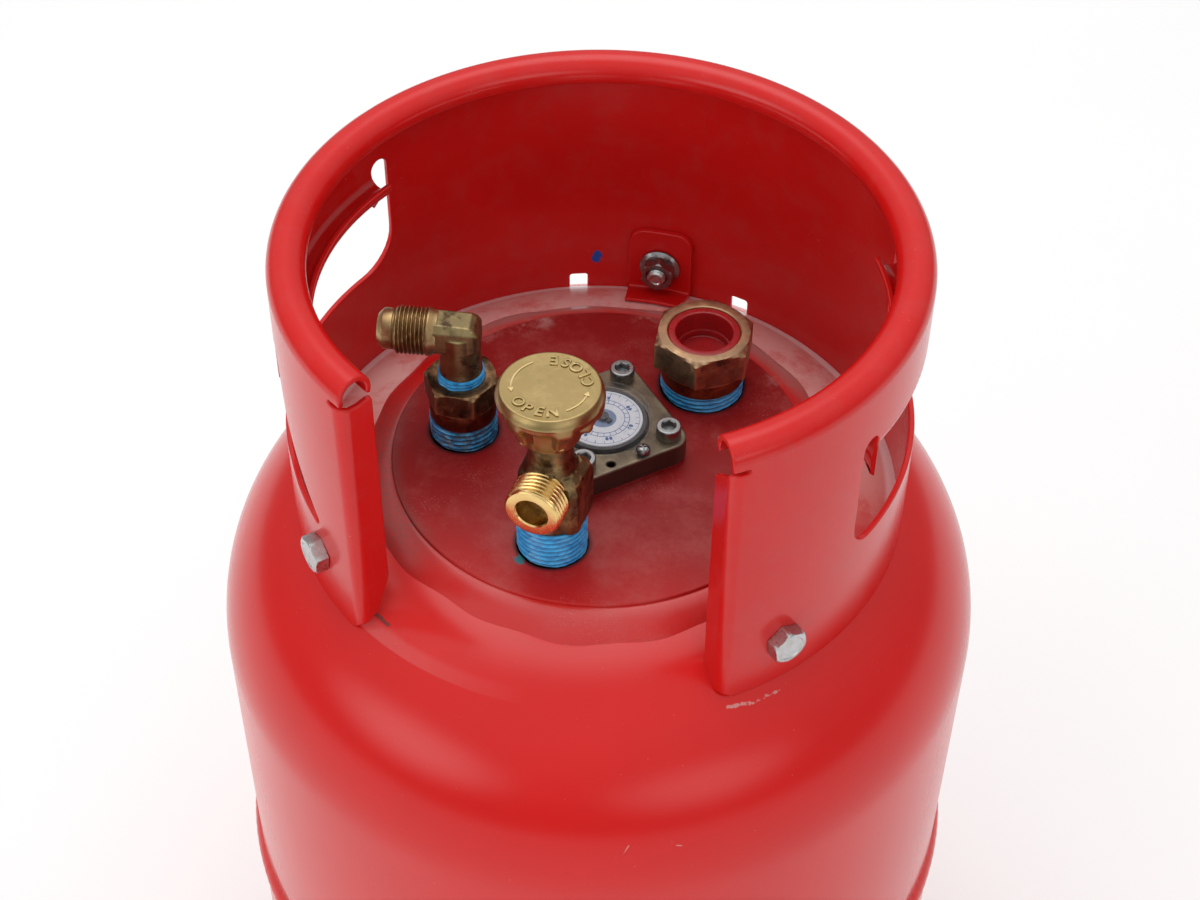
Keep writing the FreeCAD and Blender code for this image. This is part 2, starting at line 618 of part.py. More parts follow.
def stop_arm():
    """Cam, pin and rod of the stop valve's float arm, hanging at rest."""
    x, y = FILL_XY
    z = STOP_PIVOT_Z
    pin = rod(1.5, (x - 9, y, z), (x + 9, y, z))
    cam = cam_face().extrude(Vector(0, 0, 4.4))
    cam.rotate(ORIGIN, Vector(1, 1, 1), 120)
    cam.translate(Vector(x - 2.2, y, z))
    bar = rod(1.75, (x, y, z), (x, y + STOP_REACH - 22, z))
    bar.rotate(Vector(x, y, z), Vector(1, 0, 0), -STOP_REST)
    return join(cam, pin, bar)


def stop_float():
    x, y = FILL_XY
    z = STOP_PIVOT_Z
    body = rod(17, (x, y + STOP_REACH - 24, z), (x, y + STOP_REACH + 24, z))
    body = body.cut(rod(1.75, (x, y, z), (x, y + STOP_REACH - 22, z)))
    body.rotate(Vector(x, y, z), Vector(1, 0, 0), -STOP_REST)
    return body


# ---------------------------------------------------------------- relief valve

RELIEF_SEAT = PLATE_TOP + 8


def relief_body():
    solid = join(base_thread(LARGE_BASE_R, PLATE_TOP - PLATE_T - 4, PLATE_TOP + 6.5, RELIEF_XY),
                 cylinder(16.9, PLATE_TOP + 6.5, PLATE_TOP + 15.2, RELIEF_XY),
                 hexagon(36.5, PLATE_TOP + 14, PLATE_TOP + 29, RELIEF_XY, 32, 1.0, True))
    for r, low, high in ((14.5 + RUN, RELIEF_SEAT, 500), (9.0, PLATE_TOP - 12, 500),
                         (2.5 + RUN, 420, 500)):
        solid = solid.cut(cylinder(r, low, high, RELIEF_XY))
    for k in range(4):
        port = at_azimuth(cylinder(2.0, 420, 450, (6.0, 0)), 90 * k + 45, RELIEF_XY)
        solid = solid.cut(port)
    return solid


def relief_poppet():
    low = PLATE_TOP - 56
    return join(cylinder(12.0, RELIEF_SEAT + 1.5, RELIEF_SEAT + 3.5, RELIEF_XY),
                cylinder(2.5, low, RELIEF_SEAT + 2, RELIEF_XY))


def relief_seal():
    return tube(12.0, 2.5, RELIEF_SEAT + 0.02, RELIEF_SEAT + 1.5, RELIEF_XY)


def relief_spring():
    return spring(9.0, 1.1, PLATE_TOP - 52.0, PLATE_TOP - 18.05, 7, RELIEF_XY)


def relief_adjuster():
    nut = hexagon(14, PLATE_TOP - 56, PLATE_TOP - 54, azimuth=15)
    return at_azimuth(nut.fuse(cylinder(11, PLATE_TOP - 54, PLATE_TOP - 52.05)).cut(
        cylinder(2.5, 380, 400)), 0, RELIEF_XY)


def dust_plug():
    """Push-in plastic cup in the mouth of the relief valve."""
    top, low = PLATE_TOP + 28.4, RELIEF_SEAT + 7.0
    return lathe(face((0, low), (10.4, low), (14.5, low + 1.2), (14.5, top - 0.5), (14.1, top),
                      (11.9, top), (11.4, top - 1.0), (11.2, low + 5.0), (10.3, low + 4.8),
                      (10.1, low + 2.0), (0, low + 2.0)), RELIEF_XY)


# ---------------------------------------------------------------- level gauge

def gauge_flange():
    x, y = GAUGE_XY
    solid = gauge_corners(GAUGE_PCD / 2, 7, PLATE_TOP + 2, GAUGE_TOP)
    solid = solid.fuse(cylinder(17.2, PLATE_TOP - 8, PLATE_TOP + 6, GAUGE_XY)).removeSplitter()
    solid = solid.cut(cylinder(17.6, GAUGE_TOP - 3, GAUGE_TOP + 1, GAUGE_XY))
    solid = solid.cut(cylinder(5.6, PLATE_TOP - 10, PLATE_TOP + 5, GAUGE_XY))
    solid = solid.cut(cylinder(6.0 + RUN, PLATE_TOP - 10, PLATE_TOP - 4, GAUGE_XY))
    for xy in gauge_screw_points():
        solid = solid.cut(cylinder(3.3, PLATE_TOP - 1, GAUGE_TOP + 1, xy))
    for r, azimuth, reach in ((1.5, 20.4, 23.5), (1.4, 54.0, 23.5), (1.4, 234.0, 23.5)):
        a = math.radians(azimuth)
        hole = (x + reach * math.sin(a), y - reach * math.cos(a))
        solid = solid.cut(cylinder(r, GAUGE_TOP - 6, GAUGE_TOP + 1, hole))
    return solid


def gauge_gasket():
    sheet = gauge_corners(GAUGE_PCD / 2, 5.8, PLATE_TOP + 1, PLATE_TOP + 2)
    sheet = sheet.cut(cylinder(17.5, PLATE_TOP, GAUGE_TOP, GAUGE_XY))
    for xy in gauge_screw_points():
        sheet = sheet.cut(cylinder(3.4, PLATE_TOP, GAUGE_TOP, xy))
    return sheet


def gauge_screws():
    screws = []
    for xy in gauge_screw_points():
        head = cylinder(4.9, GAUGE_TOP, GAUGE_TOP + 5.5, xy).cut(
            hexagon(5, GAUGE_TOP + 2.7, GAUGE_TOP + 7, xy, 25))
        screws.append(head.fuse(cylinder(3.0, PLATE_TOP - 8, GAUGE_TOP + 1, xy)))
    return Part.makeCompound(screws)


def dial_cup():
    cup = cylinder(17.5, GAUGE_TOP - 3, GAUGE_TOP + 1.5, GAUGE_XY)
    return cup.cut(cylinder(4.8, GAUGE_TOP - 2, GAUGE_TOP + 2, GAUGE_XY))


def dial_face():
    return tube(15.6, 1.2, GAUGE_TOP + 1.5, GAUGE_TOP + 2.0, GAUGE_XY)


def dial_lens():
    """Clear cap with a sloped side and two screw ears."""
    z = GAUGE_TOP
    cap = lathe(face((0, z + 4.0), (16.2, z + 4.0), (17.7, z + 1.7), (17.7, z + 0.05), (19.2, z + 0.05),
                     (19.2, z + 1.2), (18.2, z + 3.6), ((17.8, z + 4.6), (16.6, z + 5.0)), (0, z + 5.0)))
    for azimuth in (54.0, 234.0):
        ear = box(-3.3, 3.3, -23.5, -17.8, z + 0.05, z + 1.6).fuse(
            Part.makeCylinder(3.3, 1.55, Vector(0, -23.5, z + 0.05)))
        ear = ear.cut(cylinder(17.8, z - 1, z + 3)).cut(Part.makeCylinder(1.5, 5, Vector(0, -23.5, z - 1)))
        cap = cap.fuse(at_azimuth(ear, azimuth))
    return at_azimuth(cap.removeSplitter(), 0, GAUGE_XY)


def dial_screws():
    screws = []
    for azimuth in (54.0, 234.0):
        head = Part.makeCylinder(2.8, 2.4, Vector(0, -23.5, GAUGE_TOP + 1.65))
        cross = box(-1.8, 1.8, -23.9, -23.1, GAUGE_TOP + 3, GAUGE_TOP + 5).fuse(
            box(-0.4, 0.4, -25.3, -21.7, GAUGE_TOP + 3, GAUGE_TOP + 5))
        shank = Part.makeCylinder(1.35, 6, Vector(0, -23.5, GAUGE_TOP - 4))
        screws.append(at_azimuth(head.cut(cross).fuse(shank), azimuth, GAUGE_XY))
    return Part.makeCompound(screws)


def dial_needle():
    """Pointer, pivot and magnet; it points at azimuth -120 when the tank is empty."""
    z = GAUGE_TOP + 2.5
    blade = face((-1.1, 4), (1.1, 4), (0.25, -12.5), (-0.25, -12.5), plane="xy").extrude(Vector(0, 0, 0.5))
    blade.translate(Vector(0, 0, z))
    hub = join(cylinder(2.2, z, z + 0.9), cylinder(0.9, z - 2, z + 0.1), cylinder(4.2, z - 4.3, z - 1.2))
    return at_azimuth(join(blade, hub), -120, GAUGE_XY)


def gauge_stem():
    """Tube under the flange with a fork at its lower end."""
    x, y = GAUGE_XY
    stem = tube(6.0, 3.5, STEM_END, PLATE_TOP - 4.1, GAUGE_XY)
    bridge = box(x - 6, x + 6, y - 10, y + 10, STEM_END - 4, STEM_END)
    bridge = bridge.cut(cylinder(3.5, 200, 300, GAUGE_XY))
    cheeks = [box(x - 5, x + 5, y + s - 1, y + s + 1, FLOAT_PIVOT_Z - 5, STEM_END - 3) for s in (-9, 9)]
    hole = rod(1.5 + RUN, (x, y - 12, FLOAT_PIVOT_Z), (x, y + 12, FLOAT_PIVOT_Z))
    return join(stem, bridge, *cheeks).cut(hole)


def stem_bushes():
    lows = (STEM_END, PLATE_TOP - 11)
    return Part.makeCompound([tube(3.45, 1.5 + RUN, low, low + 6, GAUGE_XY) for low in lows])


def gauge_shaft():
    """Vertical shaft with the drive magnet on top and the small bevel wheel below."""
    apex = FLOAT_PIVOT_Z
    bevel = lathe(face((0, apex + 6.2), (2.6, apex + 6.2), (3.8, apex + 9.0), (0, apex + 9.0)), GAUGE_XY)
    return join(bevel, cylinder(1.5, apex + 8, PLATE_TOP - 2, GAUGE_XY),
                cylinder(5.2, PLATE_TOP - 3, PLATE_TOP + 3.5, GAUGE_XY))


def float_arm():
    """Pivot pin, large bevel wheel and rod of the level gauge's arm."""
    x, y = GAUGE_XY
    z = FLOAT_PIVOT_Z
    pin = rod(1.5, (x, y - 10.5, z), (x, y + 10.5, z))
    wheel = Part.makeCone(8.8, 6.0, 1.25, Vector(x, y - 3.9, z), Vector(0, 1, 0))
    bar = rod(1.5, (x - 40, y + 6, z), (x + FLOAT_REACH - 20, y + 6, z))
    hub = rod(3.5, (x, y + 4.2, z), (x, y + 7.8, z))
    solid = join(pin, wheel, bar, hub)
    solid.rotate(Vector(x, y, z), Vector(0, 1, 0), GAUGE_REST)
    return solid


def gauge_float():
    x, y = GAUGE_XY
    z = FLOAT_PIVOT_Z
    near, far = x + FLOAT_REACH - 25, x + FLOAT_REACH + 25
    hole = rod(1.5, (x, y + 6, z), (x + FLOAT_REACH - 20, y + 6, z))
    body = rod(16, (near, y + 6, z), (far, y + 6, z)).cut(hole)
    body.rotate(Vector(x, y, z), Vector(0, 1, 0), GAUGE_REST)
    return body


def counterweight():
    x, y = GAUGE_XY
    z = FLOAT_PIVOT_Z
    body = rod(7, (x - 38, y + 6, z), (x - 26, y + 6, z)).cut(rod(1.5, (x - 50, y + 6, z), (x, y + 6, z)))
    body.rotate(Vector(x, y, z), Vector(0, 1, 0), GAUGE_REST)
    return body


# ---------------------------------------------------------------- all nodes

def build():
    upper, lower, plate, ring = upper_shell(), lower_shell(), valve_plate(), foot_ring()
    nodes = {
        "upper_shell": upper,
        "lower_shell": lower,
        "seam_weld": seam_weld(upper, lower),
        "foot_ring": ring,
        "foot_ring_weld": foot_weld(ring),
        "valve_plate": plate,
        "valve_plate_weld": plate_weld(upper, plate),
        "valve_sealant": sealant_band(SMALL_BASE_R, PLATE_TOP + 15.9, VALVE_XY),
        "fill_sealant": sealant_band(SMALL_BASE_R, PLATE_TOP + 9.8, FILL_XY),
        "relief_sealant": sealant_band(LARGE_BASE_R, PLATE_TOP + 6.4, RELIEF_XY),
        "collar_bracket_left": bracket("left"),
        "collar_bracket_right": bracket("right"),
        "collar_bracket_back": bracket("back"),
    }
    for maker in (collar, collar_bolts, collar_nuts, valve_body, lower_spindle, seat_disc,
                  upper_spindle, bonnet, stem_seal, handwheel, fill_adapter, fill_elbow,
                  elbow_sealant, check_poppet, check_spring, check_guide, stop_valve_body,
                  stop_piston, stop_arm, stop_float, relief_body, relief_poppet, relief_seal,
                  relief_spring, relief_adjuster, dust_plug, gauge_flange, gauge_gasket,
                  gauge_screws, dial_cup, dial_face, dial_lens, dial_screws, dial_needle,
                  gauge_stem, stem_bushes, gauge_shaft, float_arm, gauge_float, counterweight):
        nodes[maker.__name__] = maker()
    return nodes


os.makedirs("parts", exist_ok=True)
for name, shape in build().items():
    if not shape.isValid() or not shape.Solids:
        print("not a sound solid:", name)
    shape.exportStep(f"parts/{name}.step")
    print(f"{name}: {len(shape.Solids)} solid(s), {shape.Volume / 1000:.2f} cm3")
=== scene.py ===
import json
import math

import bmesh
import bpy
import numpy as np
from mathutils import Matrix, Vector, geometry


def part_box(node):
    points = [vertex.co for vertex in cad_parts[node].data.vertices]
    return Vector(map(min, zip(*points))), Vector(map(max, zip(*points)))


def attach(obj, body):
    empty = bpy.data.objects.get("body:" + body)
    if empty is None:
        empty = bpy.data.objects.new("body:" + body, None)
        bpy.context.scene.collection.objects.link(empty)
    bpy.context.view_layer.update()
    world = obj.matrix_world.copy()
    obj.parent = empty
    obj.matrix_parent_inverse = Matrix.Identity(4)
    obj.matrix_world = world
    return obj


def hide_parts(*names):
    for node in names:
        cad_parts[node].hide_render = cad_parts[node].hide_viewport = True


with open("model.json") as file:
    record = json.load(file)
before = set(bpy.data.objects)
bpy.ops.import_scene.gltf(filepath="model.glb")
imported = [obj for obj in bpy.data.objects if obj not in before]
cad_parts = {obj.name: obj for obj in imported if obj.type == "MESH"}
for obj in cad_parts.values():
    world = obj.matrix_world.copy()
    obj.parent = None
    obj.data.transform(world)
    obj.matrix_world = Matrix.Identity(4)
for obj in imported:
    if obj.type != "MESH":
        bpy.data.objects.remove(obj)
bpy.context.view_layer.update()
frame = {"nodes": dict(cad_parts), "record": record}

# Looks of a refillable propane tank. Everything is drawn in millimetres in the CAD's frame and scaled
# to metres once, in build(). Azimuths run from -Y (the front) towards +X, in degrees.

MM = 0.001
TANK = "tank"


def lowest(node):
    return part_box(node)[0] / MM


def highest(node):
    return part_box(node)[1] / MM


def middle(node):
    return (lowest(node) + highest(node)) / 2


# Places and sizes that the CAD frame gives
PLATE = lowest("valve_sealant").z               # upper face of the valve plate
VALVE = middle("valve_sealant")
FILL = middle("fill_sealant")
RELIEF = middle("relief_sealant")
GAUGE = middle("dial_cup")
PLATE_R = highest("valve_plate").x
BODY_R = highest("upper_shell").x
LOWER_R = highest("lower_shell").x
COLLAR_R = highest("collar").x
FOOT_R = highest("foot_ring").x
ROLL_TOP = highest("collar").z
SEAM_LOW = lowest("seam_weld").z
SEAM_HIGH = highest("seam_weld").z
FLANGE_TOP = highest("gauge_flange").z
WHEEL_TOP = highest("handwheel").z
WHEEL = middle("handwheel")

# Sizes that part.py shares with this script, in millimetres
WALL = 3.0
SHOULDER_R = 76.0
SHOULDER_C = BODY_R - SHOULDER_R
SHOULDER_Z = PLATE - 81.4
SEAM_Z = SEAM_LOW + 6.0
CROWN_R = 240.0
CROWN_Z = 20.0 + CROWN_R
KNUCKLE_R = 62.0
KNUCKLE_C = LOWER_R - KNUCKLE_R
KNUCKLE_Z = CROWN_Z - math.sqrt((CROWN_R - KNUCKLE_R) ** 2 - KNUCKLE_C ** 2)
CROWN_ANGLE = math.degrees(math.asin(KNUCKLE_C / (CROWN_R - KNUCKLE_R)))
SHEET = 2.3
ROLL_R = 7.2
ROLL_C = COLLAR_R - ROLL_R
RIM_Z = ROLL_TOP - ROLL_R
GAP_HALF = 33.8
BEND_R = 4.5
FLANGE_W = 14.3
HOLE_AZ = 91.4
HOLE_HALF = 59.7
HOLE_LOW = PLATE + 28
HOLE_LIP = PLATE + 77
OUTLET_AZ = -8.0
OUTLET_Z = PLATE + 34
ELBOW_AZ = -83.0
ELBOW_Z = PLATE + 50.5
HEX_FILL_AZ = 3.0
HEX_RELIEF_AZ = 32.0
GAUGE_TURN = -3.7
GAUGE_PCD = 53.0
BOLTS = {"left": (-46.0, PLATE + 7.5), "right": (46.0, PLATE + 4.0), "back": (180.0, PLATE)}
BOLT_HOLE_R = 4.3
DRAIN_AZ = 162.5
DRAIN_HALF = 3.9
DRAIN_TOP = PLATE - 9.5
SLANT_AZ = 54.0                                 # where the left hand hole's slanted corner is
FOOT_SHEET = 3.0
FOOT_CURL = 5.0
FOOT_WEAR = 0.15
BRACKET_SHEET = 3.0
BRACKET_HALF = 14.0
BASE_R = 13.4                                   # base threads of the valve and the fill adapter
RELIEF_BASE_R = 16.8
GAUGE_BORE = 17.6
DIAL_SCREW_R = 23.5
DIAL_SCREWS = (54.0, 234.0)


# ------------------------------------------------------------------ outlines and surfaces

def arc(x, z, r, start, end, count=12):
    """Points of an arc about (x, z), from one angle to another in degrees."""
    angles = np.radians(np.linspace(start, end, count))
    return [(x + r * math.cos(a), z + r * math.sin(a)) for a in angles]


def polar(r, azimuth):
    """The point at a distance from the axis and an azimuth."""
    a = math.radians(azimuth)
    return r * math.sin(a), -r * math.cos(a)


def above(level, rows):
    """Rows or points whose second value is a height above a level."""
    return [(r, level + z, *more) for r, z, *more in rows]


def smooth(low, high, x):
    """Goes from 0 at low to 1 at high with no kink."""
    t = min(1.0, max(0.0, (x - low) / (high - low)))
    return t * t * (3 - 2 * t)


def spin(rows, turns=96, xy=(0, 0), shape=None, loop=False, start=0.0):
    """Turns rows of (r, z) about a vertical axis. A row's third value is the largest radius of a
    hexagon whose flats are r away. shape(azimuth, r, z) gives back the radius to use instead."""
    verts = []
    for row in rows:
        for k in range(turns):
            azimuth = start + 360 * k / turns
            r = row[0]
            if len(row) == 3:
                r = min(r / math.cos(math.radians((azimuth - start + 30) % 60 - 30)), row[2])
            if shape:
                r = shape(azimuth, r, row[1])
            x, y = polar(r, azimuth)
            verts.append((x + xy[0], y + xy[1], row[1]))
    faces = []
    last = len(rows) if loop else len(rows) - 1
    for i in range(last):
        a, b = i * turns, (i + 1) % len(rows) * turns
        for k in range(turns):
            n = (k + 1) % turns
            faces.append((a + k, a + n, b + n, b + k))
    return verts, faces


def loft(rings):
    """A closed skin over rings of points, with flat ends."""
    n = len(rings[0])
    verts = [p for ring in rings for p in ring]
    faces = [tuple(reversed(range(n))), tuple(range(len(verts) - n, len(verts)))]
    for i in range(len(rings) - 1):
        for k in range(n):
            m = (k + 1) % n
            faces.append((i * n + k, i * n + m, (i + 1) * n + m, (i + 1) * n + k))
    return verts, faces


def bar(outline, levels):
    """An upright bar with the given plan; levels are (z, scale of the plan)."""
    return loft([[(x * s, y * s, z) for x, y in outline] for z, s in levels])


def chamfered(x0, x1, y0, y1, c):
    """A rectangle with its corners cut off."""
    return [(x0 + c, y0), (x1 - c, y0), (x1, y0 + c), (x1, y1 - c),
            (x1 - c, y1), (x0 + c, y1), (x0, y1 - c), (x0, y0 + c)]


def ball(r, at):
    """A sphere."""
    rows = [(r * math.cos(math.radians(a)), r * math.sin(math.radians(a)))
            for a in np.linspace(-90, 90, 12)]
    verts, faces = spin(rows, 20)
    return [(x + at[0], y + at[1], z + at[2]) for x, y, z in verts], faces


def aim(shape, at, azimuth):
    """Lays a shape drawn along +Z so that it points outwards at an azimuth, with its own Y up."""
    sx, sy = polar(1, azimuth)
    side = (-sy, sx)
    verts = [(at[0] + x * side[0] + z * sx, at[1] + x * side[1] + z * sy, at[2] + y)
             for x, y, z in shape[0]]
    return verts, shape[1]


def turn(shape, azimuth, at=(0, 0, 0)):
    """Turns an upright shape whose front is -Y to face an azimuth, and moves it."""
    a = math.radians(azimuth)
    c, s = math.cos(a), math.sin(a)
    verts = [(at[0] + x * c - y * s, at[1] + x * s + y * c, at[2] + z) for x, y, z in shape[0]]
    return verts, shape[1]


def thread(pitch, depth, start, end, fade=1.0):
    """Radius rule for a helical thread between two heights."""
    def rule(azimuth, r, z):
        if z < start or z > end:
            return r
        wave = abs(((z / pitch - azimuth / 360) % 1) * 2 - 1)
        cut = min(1, max(0, (wave - 0.12) / 0.76))
        ends = smooth(start, start + fade, z) * (1 - smooth(end - fade, end, z))
        return r - depth * cut * ends
    return rule


def steps(start, end, step):
    """Even steps of about the given size, both ends included."""
    count = max(2, int(round(abs(end - start) / step)) + 1)
    return list(np.linspace(start, end, count))


# ------------------------------------------------------------------ flat patterns

def resample(loop, step):
    """Splits the edges of a closed loop so that none is longer than step."""
    points = []
    for (x0, y0), (x1, y1) in zip(loop, loop[1:] + loop[:1]):
        parts = max(1, math.ceil(math.hypot(x1 - x0, y1 - y0) / step))
        points += [(x0 + (x1 - x0) * i / parts, y0 + (y1 - y0) * i / parts) for i in range(parts)]
    return points


def clean(loop):
    """Drops points that repeat the one before."""
    return [p for p, q in zip(loop, loop[-1:] + loop[:-1]) if math.dist(p, q) > 1e-4]


def normals_of(loop):
    """Unit directions out of the metal at each point of a loop that has the metal on its left."""
    points = np.array(loop)
    ahead = np.roll(points, -1, 0) - points
    ahead /= np.linalg.norm(ahead, axis=1)[:, None]
    right = np.stack([ahead[:, 1], -ahead[:, 0]], 1)
    total = right + np.roll(right, 1, 0)
    scale = np.maximum(0.35, (total * right).sum(1))
    return total / scale[:, None]


def inside(points, loop):
    """Which points lie in a closed loop."""
    x, y = points[:, 0], points[:, 1]
    found = np.zeros(len(points), bool)
    for (x0, y0), (x1, y1) in zip(loop, loop[1:] + loop[:1]):
        if y0 == y1:
            continue
        crosses = (y0 > y) != (y1 > y)
        found ^= crosses & (x < (x1 - x0) * (y - y0) / (y1 - y0) + x0)
    return found


def within(points, rims):
    """Which points lie inside the first loop and outside all the others."""
    found = inside(points, rims[0].tolist())
    for rim in rims[1:]:
        found &= ~inside(points, rim.tolist())
    return found


def mesh_pattern(rims, grid, clearance):
    """Triangles over a flat pattern, and which point each rim point became."""
    grid = np.array(grid)
    grid = grid[within(grid, rims)]
    rim_points = np.concatenate(rims)
    near = np.empty(len(grid))
    chunk = 2000
    for k in range(0, len(grid), chunk):
        gap = grid[k:k + chunk, None, :] - rim_points[None, :, :]
        near[k:k + chunk] = np.sqrt((gap ** 2).sum(2).min(1))
    flat_points = np.concatenate([rim_points, grid[near > clearance]])
    edges, first = [], 0
    for rim in rims:
        n = len(rim)
        edges += [(first + k, first + (k + 1) % n) for k in range(n)]
        first += n
    result = geometry.delaunay_2d_cdt([Vector(p) for p in flat_points], edges, [], 0, 1e-6)
    points = np.array([tuple(p) for p in result[0]])
    triangles, source = result[2], result[3]
    solid = within(points[np.array(triangles)].mean(1), rims)
    origin = {old: new for new, olds in enumerate(source) for old in olds}
    return points, [t for t, s in zip(triangles, solid) if s], origin


def skin_normal(spot, thickness, u, v):
    """Direction out of a placed pattern's outer skin."""
    e = 0.02
    a = spot(u + e, v, 0) - spot(u - e, v, 0)
    b = spot(u, v + e, 0) - spot(u, v - e, 0)
    n = np.cross(a, b)
    n /= np.linalg.norm(n)
    out = spot(u, v, 0) - spot(u, v, thickness)
    return n if n @ out > 0 else -n


# A rounded edge from the outer skin to the inner one: inset and depth in parts of the edge's radius
# (a negative depth counts from the inner skin), and the normal's angle from the outer skin's
EDGE_PROFILE = [(0.29, 0.29, 45), (0, 1, 90), (0, -1, 90), (0.29, -0.29, 135)]


def edge_point(spot, normal, at, out, inset, depth, angle):
    """A point of a rounded edge, and its normal."""
    (u, v), (du, dv) = at, out
    p = spot(u - inset * du, v - inset * dv, depth)
    sideways = spot(u + 0.02 * du, v + 0.02 * dv, depth) - spot(u, v, depth)
    sideways /= np.linalg.norm(sideways)
    a = math.radians(angle)
    return p, normal * math.cos(a) + sideways * math.sin(a)


def press(place, outer, holes, grid, thickness, edge, step):
    """A pressed or cast plate: a flat pattern, its holes and its rounded edges, laid in space.

    place(u, v, depth) maps the pattern into space; depth 0 is the outer skin. grid is the list of
    inner points. Gives back vertices, faces and exact normals."""
    loops = [clean(resample(loop, step)) for loop in [outer] + holes]
    outs = [normals_of(loop) for loop in loops]
    rims = [np.array(loop) - edge * out for loop, out in zip(loops, outs)]
    points, triangles, origin = mesh_pattern(rims, grid, 0.3 * edge + 0.12 * step)

    def spot(u, v, depth):
        return np.array(place(u, v, depth))

    skins = [skin_normal(spot, thickness, *p) for p in points]
    n = len(points)
    verts = [spot(*p, depth) for depth in (0, thickness) for p in points]
    normals = skins + [-normal for normal in skins]
    a, b, c = (points[triangles[0][k]] for k in range(3))
    whirl = np.cross(spot(*b, 0) - spot(*a, 0), spot(*c, 0) - spot(*a, 0))
    flip = whirl @ skins[triangles[0][0]] < 0
    faces = []
    for t in triangles:
        t = tuple(reversed(t)) if flip else tuple(t)
        faces += [t, tuple(n + k for k in reversed(t))]
    first = 0
    for loop, out, rim in zip(loops, outs, rims):
        m = len(loop)
        rows = [[origin[first + k] for k in range(m)]]
        for inset, part, angle in EDGE_PROFILE:
            depth = part * edge if part > 0 else thickness + part * edge
            rows.append(list(range(len(verts), len(verts) + m)))
            for at, way, (u, v) in zip(loop, out, rim):
                normal = skin_normal(spot, thickness, u, v)
                p, normal = edge_point(spot, normal, at, way, inset * edge, depth, angle)
                verts.append(p)
                normals.append(normal)
        rows.append([n + origin[first + k] for k in range(m)])
        for upper, lower in zip(rows, rows[1:]):
            for k in range(m):
                j = (k + 1) % m
                quad = (upper[k], lower[k], lower[j], upper[j])
                faces.append(quad[::-1] if flip else quad)
        first += m
    return verts, faces, normals


def lattice(us, vs):
    """Every pair of a value of us and a value of vs."""
    return [(u, v) for u in us for v in vs]


# ------------------------------------------------------------------ objects

def build(name, shapes, material, body=TANK, replaces=(), sharp=32):
    """Joins shapes into one piece of the model, in place."""
    verts, faces = [], []
    for shape in shapes:
        base = len(verts)
        verts += [Vector(v) * MM for v in shape[0]]
        faces += [tuple(base + k for k in f) for f in shape[1]]
    mesh = bpy.data.meshes.new(name)
    mesh.from_pydata(verts, [], faces)
    bm = bmesh.new()
    bm.from_mesh(mesh)
    bmesh.ops.remove_doubles(bm, verts=bm.verts, dist=2e-6)
    bmesh.ops.dissolve_degenerate(bm, edges=bm.edges, dist=1e-7)
    bmesh.ops.recalc_face_normals(bm, faces=bm.faces)
    bm.to_mesh(mesh)
    bm.free()
    mesh.shade_smooth()
    mesh.set_sharp_from_angle(angle=math.radians(sharp))
    return finish(name, mesh, material, body, replaces)


def build_pressed(name, pressed, material, replaces=()):
    """A piece from press(), which keeps its exact normals."""
    verts, faces, normals = pressed
    mesh = bpy.data.meshes.new(name)
    mesh.from_pydata([Vector(v) * MM for v in verts], [], faces)
    mesh.shade_smooth()
    mesh.normals_split_custom_set_from_vertices([tuple(n) for n in normals])
    return finish(name, mesh, material, TANK, replaces)


def finish(name, mesh, material, body, replaces):
    """Puts a mesh in the scene, tied to its body, and hides the CAD nodes it replaces."""
    mesh.materials.append(material)
    obj = bpy.data.objects.new(name, mesh)
    bpy.context.scene.collection.objects.link(obj)
    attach(obj, body)
    if replaces:
        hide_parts(*replaces)
    return obj


def settle(obj):
    """Applies an object's modifiers."""
    graph = bpy.context.evaluated_depsgraph_get()
    mesh = bpy.data.meshes.new_from_object(obj.evaluated_get(graph))
    obj.modifiers.clear()
    obj.data = mesh


def cast(name, shapes, material, voxel, rounds, replaces=()):
    """Joins shapes into one casting with soft inner corners."""
    obj = build(name, shapes, material, replaces=replaces)
    remesh = obj.modifiers.new("one_skin", "REMESH")
    remesh.mode = "VOXEL"
    remesh.voxel_size = voxel * MM
    soft = obj.modifiers.new("soft_corners", "SMOOTH")
    soft.factor = 0.5
    soft.iterations = rounds
    settle(obj)
    obj.data.shade_smooth()
    return obj


# ------------------------------------------------------------------ materials

